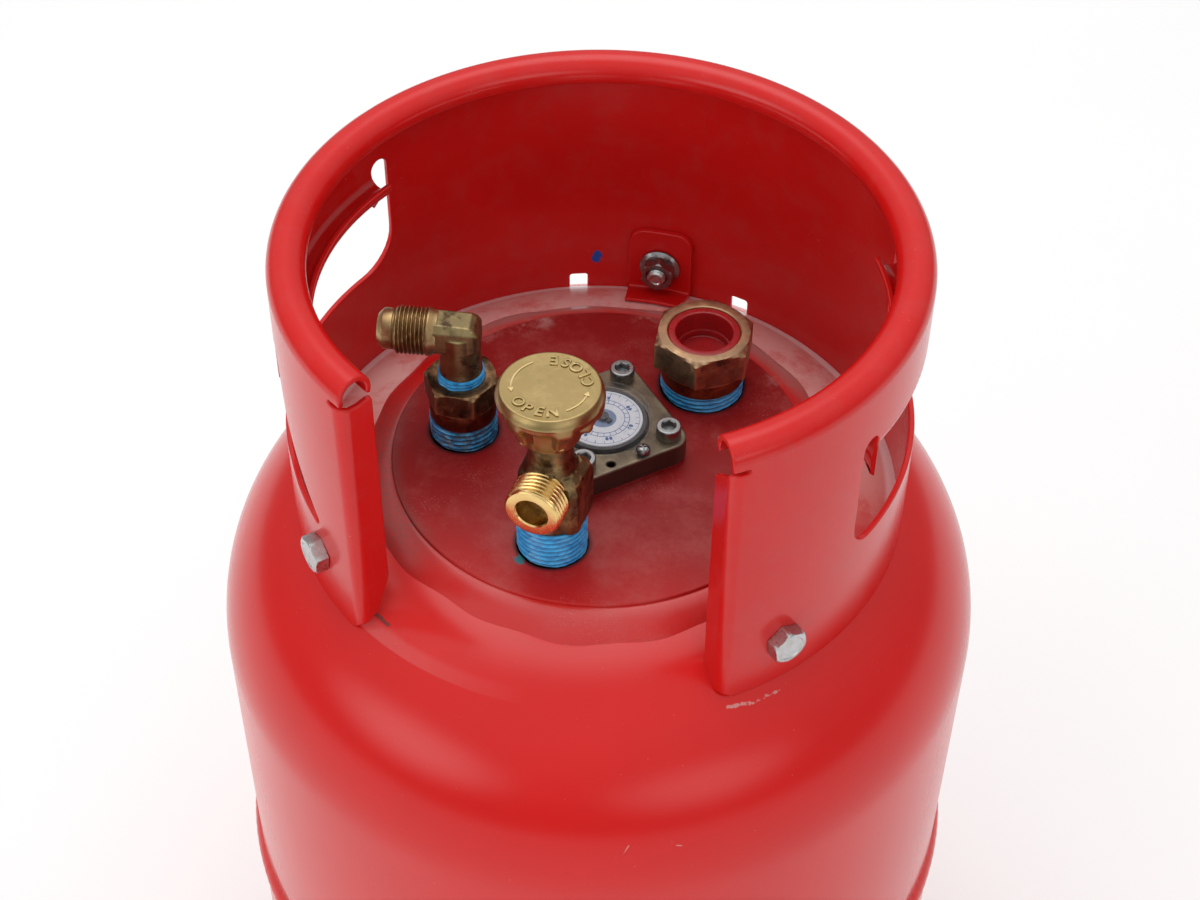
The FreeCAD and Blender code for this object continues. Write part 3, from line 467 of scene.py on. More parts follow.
class Look:
    """A Principled material and short names for the nodes that drive it."""

    def __init__(self, name, **sockets):
        self.material = bpy.data.materials.new(name)
        self.material.use_nodes = True
        self.tree = self.material.node_tree
        self.shader = self.tree.nodes["Principled BSDF"]
        for key, value in sockets.items():
            key = key.replace("_", " ").title().replace("Ior", "IOR")
            self.shader.inputs[key].default_value = value
        self.place = self.node("ShaderNodeTexCoord").outputs["Object"]

    def node(self, kind, **settings):
        node = self.tree.nodes.new(kind)
        for key, value in settings.items():
            setattr(node, key, value)
        return node

    def link(self, a, b):
        self.tree.links.new(a, b)

    def feed(self, socket, value):
        if isinstance(value, bpy.types.NodeSocket):
            self.link(value, socket)
        else:
            socket.default_value = value

    def noise(self, size, detail=3.0, rough=0.55, warp=0.0, stretch=(1, 1, 1), shift=(0, 0, 0)):
        """Noise whose features are about size millimetres across."""
        mapping = self.node("ShaderNodeMapping")
        self.link(self.place, mapping.inputs["Vector"])
        mapping.inputs["Scale"].default_value = stretch
        mapping.inputs["Location"].default_value = shift
        noise = self.node("ShaderNodeTexNoise")
        self.link(mapping.outputs[0], noise.inputs["Vector"])
        noise.inputs["Scale"].default_value = 1 / (size * MM)
        noise.inputs["Detail"].default_value = detail
        noise.inputs["Roughness"].default_value = rough
        noise.inputs["Distortion"].default_value = warp
        return noise.outputs["Fac"]

    def ramp(self, fac, *stops):
        """Stops are (position, colour) or (position, number)."""
        ramp = self.node("ShaderNodeValToRGB")
        self.link(fac, ramp.inputs[0])
        elements = ramp.color_ramp.elements
        while len(elements) < len(stops):
            elements.new(0.5)
        for element, (position, value) in zip(elements, stops):
            element.position = position
            element.color = (*value, 1) if isinstance(value, tuple) else (value, value, value, 1)
        return ramp.outputs[0]

    def mix(self, fac, a, b):
        mix = self.node("ShaderNodeMix", data_type="RGBA")
        self.feed(mix.inputs[0], fac)
        for socket, value in ((mix.inputs[6], a), (mix.inputs[7], b)):
            self.feed(socket, (*value, 1) if isinstance(value, tuple) else value)
        return mix.outputs[2]

    def math(self, operation, a, b=0.0, clamp=False):
        node = self.node("ShaderNodeMath", operation=operation, use_clamp=clamp)
        self.feed(node.inputs[0], a)
        self.feed(node.inputs[1], b)
        return node.outputs[0]

    def times(self, a, b):
        return self.math("MULTIPLY", a, b)

    def uneven(self, size, height):
        """Noise about zero, in metres, for ragged outlines."""
        return self.times(self.math("SUBTRACT", self.noise(size, 4, 0.7), 0.5), height)

    def axis(self, index):
        split = self.node("ShaderNodeSeparateXYZ")
        self.link(self.place, split.inputs[0])
        return split.outputs[index]

    def radius(self, x=0.0, y=0.0):
        """Distance from a vertical axis through (x, y) millimetres, in metres."""
        shift = self.node("ShaderNodeVectorMath", operation="SUBTRACT")
        self.link(self.place, shift.inputs[0])
        shift.inputs[1].default_value = (x * MM, y * MM, 0)
        flat = self.node("ShaderNodeVectorMath", operation="MULTIPLY")
        self.link(shift.outputs[0], flat.inputs[0])
        flat.inputs[1].default_value = (1, 1, 0)
        length = self.node("ShaderNodeVectorMath", operation="LENGTH")
        self.link(flat.outputs[0], length.inputs[0])
        return length.outputs["Value"]

    def distance(self, point):
        """Distance from a point given in millimetres, in metres."""
        node = self.node("ShaderNodeVectorMath", operation="DISTANCE")
        self.link(self.place, node.inputs[0])
        node.inputs[1].default_value = [c * MM for c in point]
        return node.outputs["Value"]

    def vector(self, operation, a, b):
        node = self.node("ShaderNodeVectorMath", operation=operation)
        self.feed(node.inputs[0], a)
        self.feed(node.inputs["Scale"] if operation == "SCALE" else node.inputs[1], b)
        return node.outputs["Value"] if operation in ("DOT_PRODUCT", "LENGTH") else node.outputs[0]

    def segment(self, start, end):
        """Distance from a short line given in millimetres, in metres."""
        start, end = Vector(start) * MM, Vector(end) * MM
        way = (end - start).normalized()
        offset = self.vector("SUBTRACT", self.place, start)
        along = self.math("MINIMUM", self.math("MAXIMUM", self.vector("DOT_PRODUCT", offset, way), 0.0),
                          (end - start).length)
        foot = self.node("ShaderNodeVectorMath", operation="SCALE")
        foot.inputs[0].default_value = way
        self.link(along, foot.inputs["Scale"])
        return self.vector("LENGTH", self.vector("SUBTRACT", offset, foot.outputs[0]), (0, 0, 0))

    def span(self, value, low, high, out_low=0.0, out_high=1.0):
        """Maps a stretch of value smoothly to 0..1, or to the given outputs."""
        node = self.node("ShaderNodeMapRange", interpolation_type="SMOOTHSTEP")
        self.feed(node.inputs["Value"], value)
        for key, number in (("From Min", low), ("From Max", high), ("To Min", out_low), ("To Max", out_high)):
            node.inputs[key].default_value = number
        return node.outputs[0]

    def bump(self, height, distance, normal=None):
        node = self.node("ShaderNodeBump")
        node.inputs["Strength"].default_value = 1.0
        node.inputs["Distance"].default_value = distance * MM
        self.link(height, node.inputs["Height"])
        if normal:
            self.link(normal, node.inputs["Normal"])
        return node.outputs[0]

    def edges(self, low, high):
        """1 on worn outer edges of a dense mesh."""
        point = self.node("ShaderNodeNewGeometry").outputs["Pointiness"]
        return self.span(point, low, high)

    def wear(self, colour, roughness=None, normal=None, coat_normal=None):
        for key, value in (("Base Color", colour), ("Roughness", roughness), ("Normal", normal),
                           ("Coat Normal", coat_normal)):
            if value is not None:
                self.feed(self.shader.inputs[key], value)
        return self.material


RED = (0.64, 0.009, 0.008)
# Pale dust; on the far side of the plate's weld it also stands in for a painted reflection
DUST_AND_PAINTED_SHEEN = (0.47, 0.27, 0.25)


def enamel(name, film=0.0, marks=(), dust_and_sheen_shoulder=False):
    """Glossy stove enamel with faint unevenness, dust specks and a few marks.

    marks are (start, end, width, colour, roughness of outline) in millimetres."""
    look = Look(name, coat_weight=1.0, coat_roughness=0.2, coat_ior=1.4, specular_ior_level=0.0)
    colour = look.ramp(look.noise(70, 2), (0.3, RED), (0.75, (0.59, 0.008, 0.007)))
    speck = look.ramp(look.noise(1.1, 1, 0.3), (0.17, 1.0), (0.19, 0.0))
    colour = look.mix(look.times(speck, 0.5), colour, (0.66, 0.20, 0.18))
    if film:
        cloud = look.span(look.noise(14, 5, 0.7), 0.42, 0.75, 0.0, film)
        colour = look.mix(cloud, colour, (0.40, 0.10, 0.09))
    # Pale dust on the shoulder inside the collar, partly a painted reflection, with a painted highlight line
    # at the collar's foot
    if dust_and_sheen_shoulder:
        colour = dust_and_painted_sheen(look, colour)
    for start, end, width, tint, ragged in marks:
        reach = look.segment(start, end)
        if ragged:
            reach = look.math("ADD", reach, look.uneven(2.2, ragged * MM))
        mask = look.span(reach, width * MM * 0.7, width * MM, 1.0, 0.0)
        colour = look.mix(mask, colour, tint)
    bump = look.bump(look.noise(3.0, 1.5, 0.4), 0.004)
    bump = look.bump(look.noise(22, 1, 0.4), 0.03, normal=bump)
    rough = look.ramp(look.noise(9, 3), (0.3, 0.35), (0.7, 0.45))
    return look.wear(colour, rough, bump, coat_normal=bump)


def dust_and_painted_sheen(look, colour):
    """Pale dust inside the collar that is partly a painted reflection of light at a glancing angle, and a
    painted highlight line against its wall; both are densest at the back.
    """
    radius = look.radius()
    around = look.math("ADD", look.span(look.axis(1), -0.055, 0.045),
                       look.times(look.axis(0), -0.8), True)
    wall = look.span(radius, 0.1188, 0.1182)
    # The pinkish band: partly dust, partly a painted reflection of light at a glancing angle
    film = look.times(look.span(radius, 0.086, 0.094), wall)
    cloud = look.span(look.noise(18, 6, 0.7, shift=(0.3, 0, 0)), 0.30, 0.55, 0.45, 0.95)
    colour = look.mix(look.times(look.times(film, around), cloud), colour, (0.78, 0.47, 0.44))
    # A near-white line just inside the collar's wall: a painted highlight
    line = look.times(look.span(radius, 0.1125, 0.1150), wall)
    return look.mix(look.times(line, around), colour, (0.92, 0.82, 0.82))


def dusty_enamel(name, base, film, coat):
    """Paint of the plate and its weld: chalky, with pale dust at the back; on the far side of the weld that
    pale band is partly a painted reflection.
    """
    look = Look(name, coat_weight=coat, coat_roughness=0.28, specular_ior_level=0.12)
    front = look.span(look.axis(1), -0.085, -0.03, 1.0, 0.0)
    colour = look.mix(look.times(front, 0.75), base, (0.55, 0.012, 0.010))
    cloud = look.noise(22, 6, 0.72)
    colour = look.mix(look.span(cloud, 0.40, 0.72, 0.0, film), colour, (0.46, 0.12, 0.11))
    grains = look.ramp(look.noise(0.6, 2, 0.5), (0.62, 0.0), (0.74, 1.0))
    patches = look.span(look.noise(26, 3), 0.48, 0.66)
    colour = look.mix(look.times(grains, look.times(patches, 0.4)), colour, DUST_AND_PAINTED_SHEEN)
    radius = look.radius()
    # Pale band at the back of the plate's edge and its weld: partly dust, partly a painted reflection of
    # light at a glancing angle
    back = look.span(look.axis(1), 0.035, 0.072)
    patchy = look.times(look.span(cloud, 0.5, 0.7), look.span(radius, 0.070, 0.082))
    ring = look.math("MAXIMUM", look.span(radius, 0.080, 0.092), patchy)
    back_dust_and_sheen = look.times(look.times(ring, back), look.span(cloud, 0.30, 0.52, 0.25, 0.9))
    colour = look.mix(back_dust_and_sheen, colour, DUST_AND_PAINTED_SHEEN)
    # A darker brown patch at the plate's left front edge, broken up by noise
    corner = look.times(look.span(look.distance((-84, -32, PLATE)), 0.030, 0.062, 1.0, 0.0),
                       look.span(radius, 0.076, 0.083))
    corner_mottle = look.span(look.noise(1.6, 5, 0.7, shift=(0.1, 0.3, 0)), 0.40, 0.70, 0.35, 0.8)
    colour = look.mix(look.times(corner, corner_mottle), colour, (0.16, 0.06, 0.055))
    for centre, base_r in ((VALVE, BASE_R), (FILL, BASE_R), (RELIEF, RELIEF_BASE_R)):
        reach = look.radius(centre.x, centre.y)
        dirt = look.span(reach, (base_r + 0.6) * MM, (base_r + 2.4) * MM, 0.85, 0.0)
        colour = look.mix(dirt, colour, (0.05, 0.012, 0.014))
    smear = look.distance((VALVE.x - 9.5, VALVE.y - 11.5, PLATE))
    smear = look.math("ADD", smear, look.uneven(1.6, 0.008))
    colour = look.mix(look.span(smear, 0.0018, 0.0024, 0.9, 0.0), colour, (0.01, 0.20, 0.22))
    rough = look.ramp(look.noise(7, 4), (0.3, 0.42), (0.75, 0.62))
    bump = look.bump(look.noise(1.3, 3, 0.6), 0.02)
    bump = look.bump(look.noise(14, 2), 0.08, normal=bump)
    return look.wear(colour, rough, bump, coat_normal=bump)


def tarnished(name, fresh, dull, dark, green=0.0, amount=0.5, rough=(0.3, 0.5), grain=0.012):
    """Brass that has browned in the hollows and rubbed bright on its edges."""
    look = Look(name, metallic=1.0, specular_ior_level=0.5)
    blotch = look.noise(7, 5, 0.65, 0.6)
    colour = look.ramp(blotch, (0.30, fresh), (0.52, dull), (0.74, dull))
    patches = look.noise(9, 6, 0.7, shift=(0.1, 0.2, 0))
    stain = look.span(patches, 0.62 - 0.3 * amount, 0.80 - 0.25 * amount)
    colour = look.mix(stain, colour, dark)
    if green:
        bloom = look.span(look.noise(5, 4, 0.6, shift=(0, 0.4, 0.1)), 0.55, 0.72, 0.0, green)
        colour = look.mix(bloom, colour, (0.13, 0.15, 0.11))
    worn = look.edges(0.52, 0.58)
    colour = look.mix(look.times(worn, 0.65), colour, tuple(min(1, c * 1.5) for c in fresh))
    hollow = look.edges(0.485, 0.44)
    colour = look.mix(look.times(hollow, 0.75), colour, dark)
    roughness = look.ramp(look.noise(3, 4), (0.3, rough[0]), (0.7, rough[1]))
    bump = look.bump(look.noise(0.45, 3, 0.6), grain)
    return look.wear(colour, roughness, bump)


def turned_brass():
    """Freshly turned brass, yellow and bright."""
    look = Look("turned_brass", metallic=1.0, specular_ior_level=0.5)
    colour = look.ramp(look.noise(4, 3), (0.3, (0.84, 0.60, 0.26)), (0.7, (0.74, 0.50, 0.19)))
    hollow = look.edges(0.48, 0.42)
    colour = look.mix(look.times(hollow, 0.7), colour, (0.34, 0.18, 0.05))
    rough = look.ramp(look.noise(1.5, 3), (0.3, 0.18), (0.7, 0.28))
    return look.wear(colour, rough, look.bump(look.noise(0.3, 2), 0.004))


def zinc(name="zinc_plate", dark=0.0):
    """Zinc plate with brown specks; dark dims it."""
    look = Look(name, metallic=1.0, specular_ior_level=0.5)
    pale = tuple(c * (1 - dark) for c in (0.56, 0.58, 0.60))
    warm = tuple(c * (1 - dark) for c in (0.46, 0.46, 0.43))
    colour = look.ramp(look.noise(3, 4, 0.6), (0.35, pale), (0.7, warm))
    spots = look.span(look.noise(0.8, 3, 0.6), 0.64, 0.76, 0.0, 0.6)
    colour = look.mix(spots, colour, (0.18, 0.16, 0.14))
    rough = look.ramp(look.noise(1.2, 4), (0.3, 0.24), (0.7, 0.40))
    return look.wear(colour, rough, look.bump(look.noise(0.4, 3), 0.01))


def plain_steel():
    """Bare steel, a little dull."""
    look = Look("plain_steel", metallic=1.0, specular_ior_level=0.5)
    colour = look.ramp(look.noise(5, 4), (0.3, (0.36, 0.36, 0.37)), (0.7, (0.26, 0.25, 0.24)))
    rough = look.ramp(look.noise(1.5, 3), (0.3, 0.3), (0.7, 0.45))
    return look.wear(colour, rough, look.bump(look.noise(0.5, 3), 0.01))


def sealant(name, dirt, centre=None, r=0.0):
    """Blue thread-locking paste, dried in the thread's ridges. Its grooves are darker, partly from dirt and
    partly as painted shade, and about a centre its crests are paler as a painted highlight.
    """
    look = Look(name, coat_weight=0.5, coat_roughness=0.2, specular_ior_level=0.4)
    colour = look.ramp(look.noise(2.6, 4, 0.6, stretch=(1, 1, 2.0)),
                       (0.28, (0.008, 0.21, 0.56)), (0.5, (0.012, 0.37, 0.82)), (0.72, (0.04, 0.47, 0.90)))
    # Darker grooves: partly dirt, partly painted shade in the recesses
    if centre is None:
        groove = look.edges(0.495, 0.44)
    else:
        radius = look.radius(centre.x, centre.y)
        groove = look.span(radius, (r - 0.75) * MM, (r - 0.12) * MM, 1.0, 0.0)
        # Paler crests: a painted highlight
        painted_crest_highlight = look.span(radius, (r - 0.22) * MM, r * MM, 0.0, 0.45)
        colour = look.mix(painted_crest_highlight, colour, (0.10, 0.55, 0.88))
    colour = look.mix(look.times(groove, 0.6 + 0.35 * dirt), colour, (0.006, 0.06, 0.17))
    patches = look.noise(3.5, 4, 0.6, shift=(0.2, 0, 0))
    stain = look.span(patches, 0.66 - 0.3 * dirt, 0.78 - 0.2 * dirt, 0.0, 0.8)
    colour = look.mix(stain, colour, (0.014, 0.045, 0.075))
    rough = look.ramp(look.noise(1.5, 3), (0.3, 0.25), (0.7, 0.45))
    return look.wear(colour, rough, look.bump(look.noise(0.7, 3), 0.04))


def cast_alloy():
    """Weathered casting of the gauge, paler on its edges and dark on its sides."""
    look = Look("cast_alloy", metallic=0.85, specular_ior_level=0.5)
    colour = look.ramp(look.noise(9, 5, 0.65), (0.3, (0.22, 0.175, 0.115)), (0.55, (0.13, 0.10, 0.07)),
                       (0.75, (0.07, 0.05, 0.04)))
    side = look.span(look.axis(2), (FLANGE_TOP - 1.4) * MM, (FLANGE_TOP - 0.4) * MM, 0.85, 0.0)
    colour = look.mix(side, colour, (0.030, 0.014, 0.012))
    worn = look.edges(0.51, 0.58)
    colour = look.mix(look.times(worn, 0.5), colour, (0.36, 0.33, 0.26))
    rough = look.ramp(look.noise(2, 4), (0.3, 0.36), (0.7, 0.55))
    return look.wear(colour, rough, look.bump(look.noise(0.5, 4, 0.6), 0.03))


def plastic(name, colour, dark, roughness=0.35, grain=0.01):
    """Moulded or printed material that shifts between two colours."""
    look = Look(name, specular_ior_level=0.5)
    shade = look.ramp(look.noise(5, 4), (0.3, colour), (0.72, dark))
    rough = look.ramp(look.noise(2.5, 3), (0.3, roughness), (0.7, roughness + 0.15))
    return look.wear(shade, rough, look.bump(look.noise(0.6, 3), grain))


def clear_plastic():
    """Clear dial cover: seen through when faced; at a glancing angle it turns more opaque, so its grey colour
    shows there as a painted reflection.
    """
    look = Look("clear_cover", roughness=0.06, specular_ior_level=0.7)
    painted_reflection_veil = look.node("ShaderNodeLayerWeight")
    painted_reflection_veil.inputs["Blend"].default_value = 0.35
    haze = look.span(look.noise(2.0, 4), 0.5, 0.75, 0.0, 0.06)
    # More opaque at a glancing angle, where the grey colour is a painted reflection; the noise adds faint
    # haze
    alpha = look.math("ADD", look.span(painted_reflection_veil.outputs["Facing"], 0.35, 0.95, 0.02, 0.7), haze, True)
    look.link(alpha, look.shader.inputs["Alpha"])
    colour = look.ramp(look.noise(3, 3), (0.3, (0.50, 0.54, 0.56)), (0.7, (0.40, 0.44, 0.46)))
    return look.wear(colour)


CHIP = (0.62, 0.25, 0.22)
PAINT = enamel("gloss_red", dust_and_sheen_shoulder=True, marks=[
    ((71, -100.5, PLATE - 19.2), (80, -95.5, PLATE - 19.6), 0.8, CHIP, 2.6),
    ((80, -95.5, PLATE - 19.6), (88, -88.0, PLATE - 19.9), 0.7, CHIP, 2.4),
    ((42.2, -145.2, PLATE - 58.6), (44.2, -143.4, PLATE - 54.6), 0.28, CHIP, 0.0),
    ((60.4, -138.4, PLATE - 56.2), (63.6, -136.6, PLATE - 57.4), 0.28, CHIP, 0.0),
    ((-66, -91, PLATE - 13.2), (-58.5, -96, PLATE - 13.3), 0.9, (0.22, 0.05, 0.045), 2.4)])
PAINT_COLLAR = enamel("gloss_red_collar", 0.12, [
    ((-28.1, 114.8, PLATE - 1.2), (-27.6, 114.9, PLATE + 1.6), 2.3, (0.01, 0.08, 0.42), 3.0)])
BRACKET_PAINT = enamel("gloss_red_bracket")
PLATE_PAINT = dusty_enamel("dusty_plate_paint", (0.26, 0.008, 0.009), 0.32, 0.2)
BEAD_PAINT = dusty_enamel("dusty_bead_paint", (0.57, 0.009, 0.008), 0.12, 0.9)
WHEEL_BRASS = tarnished("handwheel_brass", (0.41, 0.30, 0.135), (0.34, 0.245, 0.105), (0.17, 0.115, 0.05),
                        amount=0.15, rough=(0.28, 0.40), grain=0.025)
# The letters' brass is a brighter copy of the wheel's brass: a painted highlight on the raised letters
LETTER_PAINTED_HIGHLIGHT_BRASS = tarnished("handwheel_letter_painted_highlight_brass", (0.50, 0.38, 0.18), (0.38, 0.28, 0.12), (0.14, 0.09, 0.04),
                         amount=0.2, rough=(0.25, 0.38), grain=0.02)
VALVE_BRASS = tarnished("valve_brass", (0.36, 0.24, 0.10), (0.20, 0.13, 0.06), (0.06, 0.035, 0.02),
                        green=0.5, amount=0.55)
ELBOW_BRASS = tarnished("elbow_brass", (0.33, 0.26, 0.12), (0.24, 0.185, 0.09), (0.07, 0.045, 0.028),
                        green=0.25, amount=0.4, rough=(0.32, 0.5))
DARK_BRASS = tarnished("brown_brass", (0.34, 0.21, 0.10), (0.13, 0.075, 0.04), (0.035, 0.02, 0.013),
                       green=0.25, amount=0.62, rough=(0.34, 0.55))
FLARE_BRASS = tarnished("flare_brass", (0.46, 0.33, 0.17), (0.34, 0.22, 0.10), (0.12, 0.07, 0.035),
                        green=0.1, amount=0.3, rough=(0.3, 0.45))
RELIEF_BRASS = tarnished("relief_brass", (0.48, 0.31, 0.17), (0.30, 0.195, 0.12), (0.12, 0.085, 0.06),
                         green=0.55, amount=0.35, rough=(0.34, 0.55))
COPPERY = tarnished("coppery_brass", (0.42, 0.22, 0.09), (0.26, 0.12, 0.055), (0.09, 0.035, 0.02),
                    green=0.15, amount=0.4, rough=(0.32, 0.5))
BROWNED = tarnished("browned_brass", (0.24, 0.075, 0.035), (0.10, 0.028, 0.016), (0.03, 0.012, 0.01),
                    amount=0.45, rough=(0.35, 0.6), grain=0.03)
TURNED = turned_brass()
ZINC = zinc()
SCREW_STEEL = zinc("screw_steel", 0.45)
STEEL = plain_steel()
BLUE_VALVE = sealant("blue_sealant_valve", 0.0, VALVE, BASE_R)
BLUE_FILL = sealant("blue_sealant_fill", 1.0, FILL, BASE_R)
BLUE_RELIEF = sealant("blue_sealant_relief", 0.0, RELIEF, RELIEF_BASE_R)
BLUE_MILD = sealant("blue_sealant_mild", 0.35)
ALLOY = cast_alloy()
RUBBER = plastic("black_rubber", (0.025, 0.025, 0.025), (0.045, 0.042, 0.04), 0.6, 0.03)
BLACK = plastic("black_plastic", (0.03, 0.03, 0.032), (0.05, 0.05, 0.05), 0.4)
FOAM = plastic("float_foam", (0.05, 0.05, 0.05), (0.09, 0.088, 0.085), 0.75, 0.08)
CUP_RED = plastic("red_plug", (0.36, 0.008, 0.010), (0.27, 0.006, 0.008), 0.25)
DIAL_WHITE = plastic("dial_white", (0.60, 0.62, 0.66), (0.54, 0.57, 0.62), 0.45, 0.004)
DIAL_BLUE = plastic("dial_ink", (0.05, 0.10, 0.26), (0.08, 0.14, 0.32), 0.5, 0.002)
DIAL_GREY = plastic("dial_grey", (0.14, 0.19, 0.31), (0.18, 0.23, 0.35), 0.5, 0.002)
CLEAR = clear_plastic()

CAD_FINISH = {"red_paint": PAINT, "plate_paint": PLATE_PAINT, "aged_brass": DARK_BRASS,
              "bright_brass": TURNED, "zinc": ZINC, "steel": STEEL, "blue_sealant": BLUE_MILD,
              "gauge_alloy": ALLOY, "black_rubber": RUBBER, "clear_plastic": CLEAR,
              "dial_print": DIAL_WHITE, "needle_plastic": BLACK, "red_plastic": CUP_RED,
              "float_foam": FOAM}


# ------------------------------------------------------------------ vessel

def shoulder_z(r):
    """Height of the shoulder's outer skin at a distance from the axis."""
    return SHOULDER_Z + math.sqrt(SHOULDER_R ** 2 - (r - SHOULDER_C) ** 2)


def vessel():
    """The two shells, one slipped into the other."""
    start = math.degrees(math.acos((PLATE_R - SHOULDER_C) / SHOULDER_R))
    joggle = LOWER_R - WALL - 0.1
    upper = arc(SHOULDER_C, SHOULDER_Z, SHOULDER_R, start, 0, 48)
    upper += [(BODY_R, z) for z in steps(SHOULDER_Z - 10, SEAM_Z + 6, 15)]
    upper += [(joggle, SEAM_Z + 0.6), (joggle, SEAM_Z - 12), (joggle - WALL, SEAM_Z - 12),
              (joggle - WALL, SEAM_Z + 1.8), (BODY_R - WALL, SEAM_Z + 5.2)]
    upper += arc(SHOULDER_C, SHOULDER_Z, SHOULDER_R - WALL, 0, start, 40)
    build("upper_shell_skin", [spin(upper, 288, loop=True)], PAINT, replaces=["upper_shell"])

    def dish(skin):
        crown = arc(0, CROWN_Z, CROWN_R + skin, -90, -90 + CROWN_ANGLE, 24)
        knuckle = arc(KNUCKLE_C, KNUCKLE_Z, KNUCKLE_R + skin, -90 + CROWN_ANGLE, 0, 28)
        crown[0] = (0, CROWN_Z - CROWN_R - skin)
        return crown + knuckle[1:] + [(LOWER_R + skin, z) for z in steps(KNUCKLE_Z + 12, SEAM_Z, 15)]
    lower = dish(0) + dish(-WALL)[::-1]
    build("lower_shell_skin", [spin(lower, 288)], PAINT, replaces=["lower_shell"])


def beads():
    """Machine welds: low, even ripples along each run."""
    def ripple(count, height):
        def rule(azimuth, r, z):
            return r + height * abs(math.sin(math.radians(azimuth * count / 2)))
        return rule
    seam = [(BODY_R - 0.3, SEAM_HIGH)] + arc(LOWER_R - 7.2, SEAM_Z + 0.4, 8.5, 42, -42, 14)
    seam += [(LOWER_R - 0.3, SEAM_LOW), (LOWER_R - 2.2, SEAM_Z - 4), (BODY_R - 2.0, SEAM_Z + 4)]
    build("seam_bead", [spin(seam, 540, shape=ripple(180, 0.12), loop=True)], PAINT,
          replaces=["seam_weld"])
    outer = PLATE_R + 12
    band = [(PLATE_R - 0.6, PLATE - 1.4), (PLATE_R + 0.2, PLATE - 1.2), (PLATE_R + 1.6, PLATE - 1.5),
            (PLATE_R + 4.5, PLATE - 2.5), (PLATE_R + 7.5, PLATE - 3.9), (PLATE_R + 10.5, PLATE - 5.6),
            (outer, shoulder_z(outer) + 0.1), (outer + 0.6, shoulder_z(outer + 0.6) - 0.3),
            (outer - 4, PLATE - 8), (PLATE_R - 0.6, PLATE - 7)]

    def rough_band(azimuth, r, z):
        wide = smooth(PLATE_R + 7, outer, r)
        slow = math.sin(math.radians(azimuth * 5 + 40))
        quick = math.sin(math.radians(azimuth * 17))
        return r + wide * (0.8 * slow + 0.5 * quick)
    build("plate_bead", [spin(band, 432, shape=rough_band, loop=True)], BEAD_PAINT,
          replaces=["valve_plate_weld"])
    edge = CROWN_Z - math.sqrt(CROWN_R ** 2 - FOOT_R ** 2)
    foot = [(FOOT_R - 0.5, edge - 6), (FOOT_R + 1.0, edge - 5.0), (FOOT_R + 2.9, edge - 1.0),
            (FOOT_R + 4.6, edge + 2.2), (FOOT_R + 7.2, edge + 5.2), (FOOT_R + 4, edge + 5.2),
            (FOOT_R - 0.5, edge)]
    build("foot_bead", [spin(foot, 432, shape=ripple(140, 0.2), loop=True)], PAINT,
          replaces=["foot_ring_weld"])


def circle(x, y, r, count=64, clockwise=False):
    """A circle's points; a hole's run clockwise."""
    way = -1 if clockwise else 1
    return [(x + r * math.cos(way * 2 * math.pi * k / count), y + r * math.sin(way * 2 * math.pi * k / count))
            for k in range(count)]


def diamond(reach, r):
    """Rounded square on its corner about the gauge's centre, reach to its corner circles' centres."""
    points = []
    for k in range(4):
        a = math.radians(GAUGE_TURN + 90 * k)
        cx, cy = reach * math.cos(a), reach * math.sin(a)
        points += arc(cx, cy, r, GAUGE_TURN + 90 * k - 45, GAUGE_TURN + 90 * k + 45, 14)
    return [(x + GAUGE.x, y + GAUGE.y) for x, y in points]


def around(x, y, step):
    """Grid points about the origin, out to x and y."""
    return [(p, q) for p in steps(-x, x, step) for q in steps(-y, y, step)]


def flat(top):
    """Lays a flat pattern level, its outer skin at a height."""
    return lambda u, v, d: (u, v, top - d)


def plate():
    """The round valve plate and the pad under the gauge."""
    holes = [circle(c.x, c.y, r, 72, True) for c, r in
             ((VALVE, 13.35), (FILL, 13.35), (RELIEF, 16.75))]
    holes.append(circle(GAUGE.x, GAUGE.y, 17.5, 72, True))
    grid = around(PLATE_R, PLATE_R, 4)
    pressed = press(flat(PLATE), circle(0, 0, PLATE_R, 288), holes, grid, 14, 0.8, 3)
    build_pressed("valve_plate_skin", pressed, PLATE_PAINT, replaces=["valve_plate"])
    pad = press(flat(PLATE + 1), diamond(GAUGE_PCD / 2, 6), [circle(GAUGE.x, GAUGE.y, 17.5, 72, True)],
                [(GAUGE.x + u, GAUGE.y + v) for u, v in around(34, 34, 4)], 1.1, 0.3, 2)
    build_pressed("gauge_pad", pad, PLATE_PAINT)


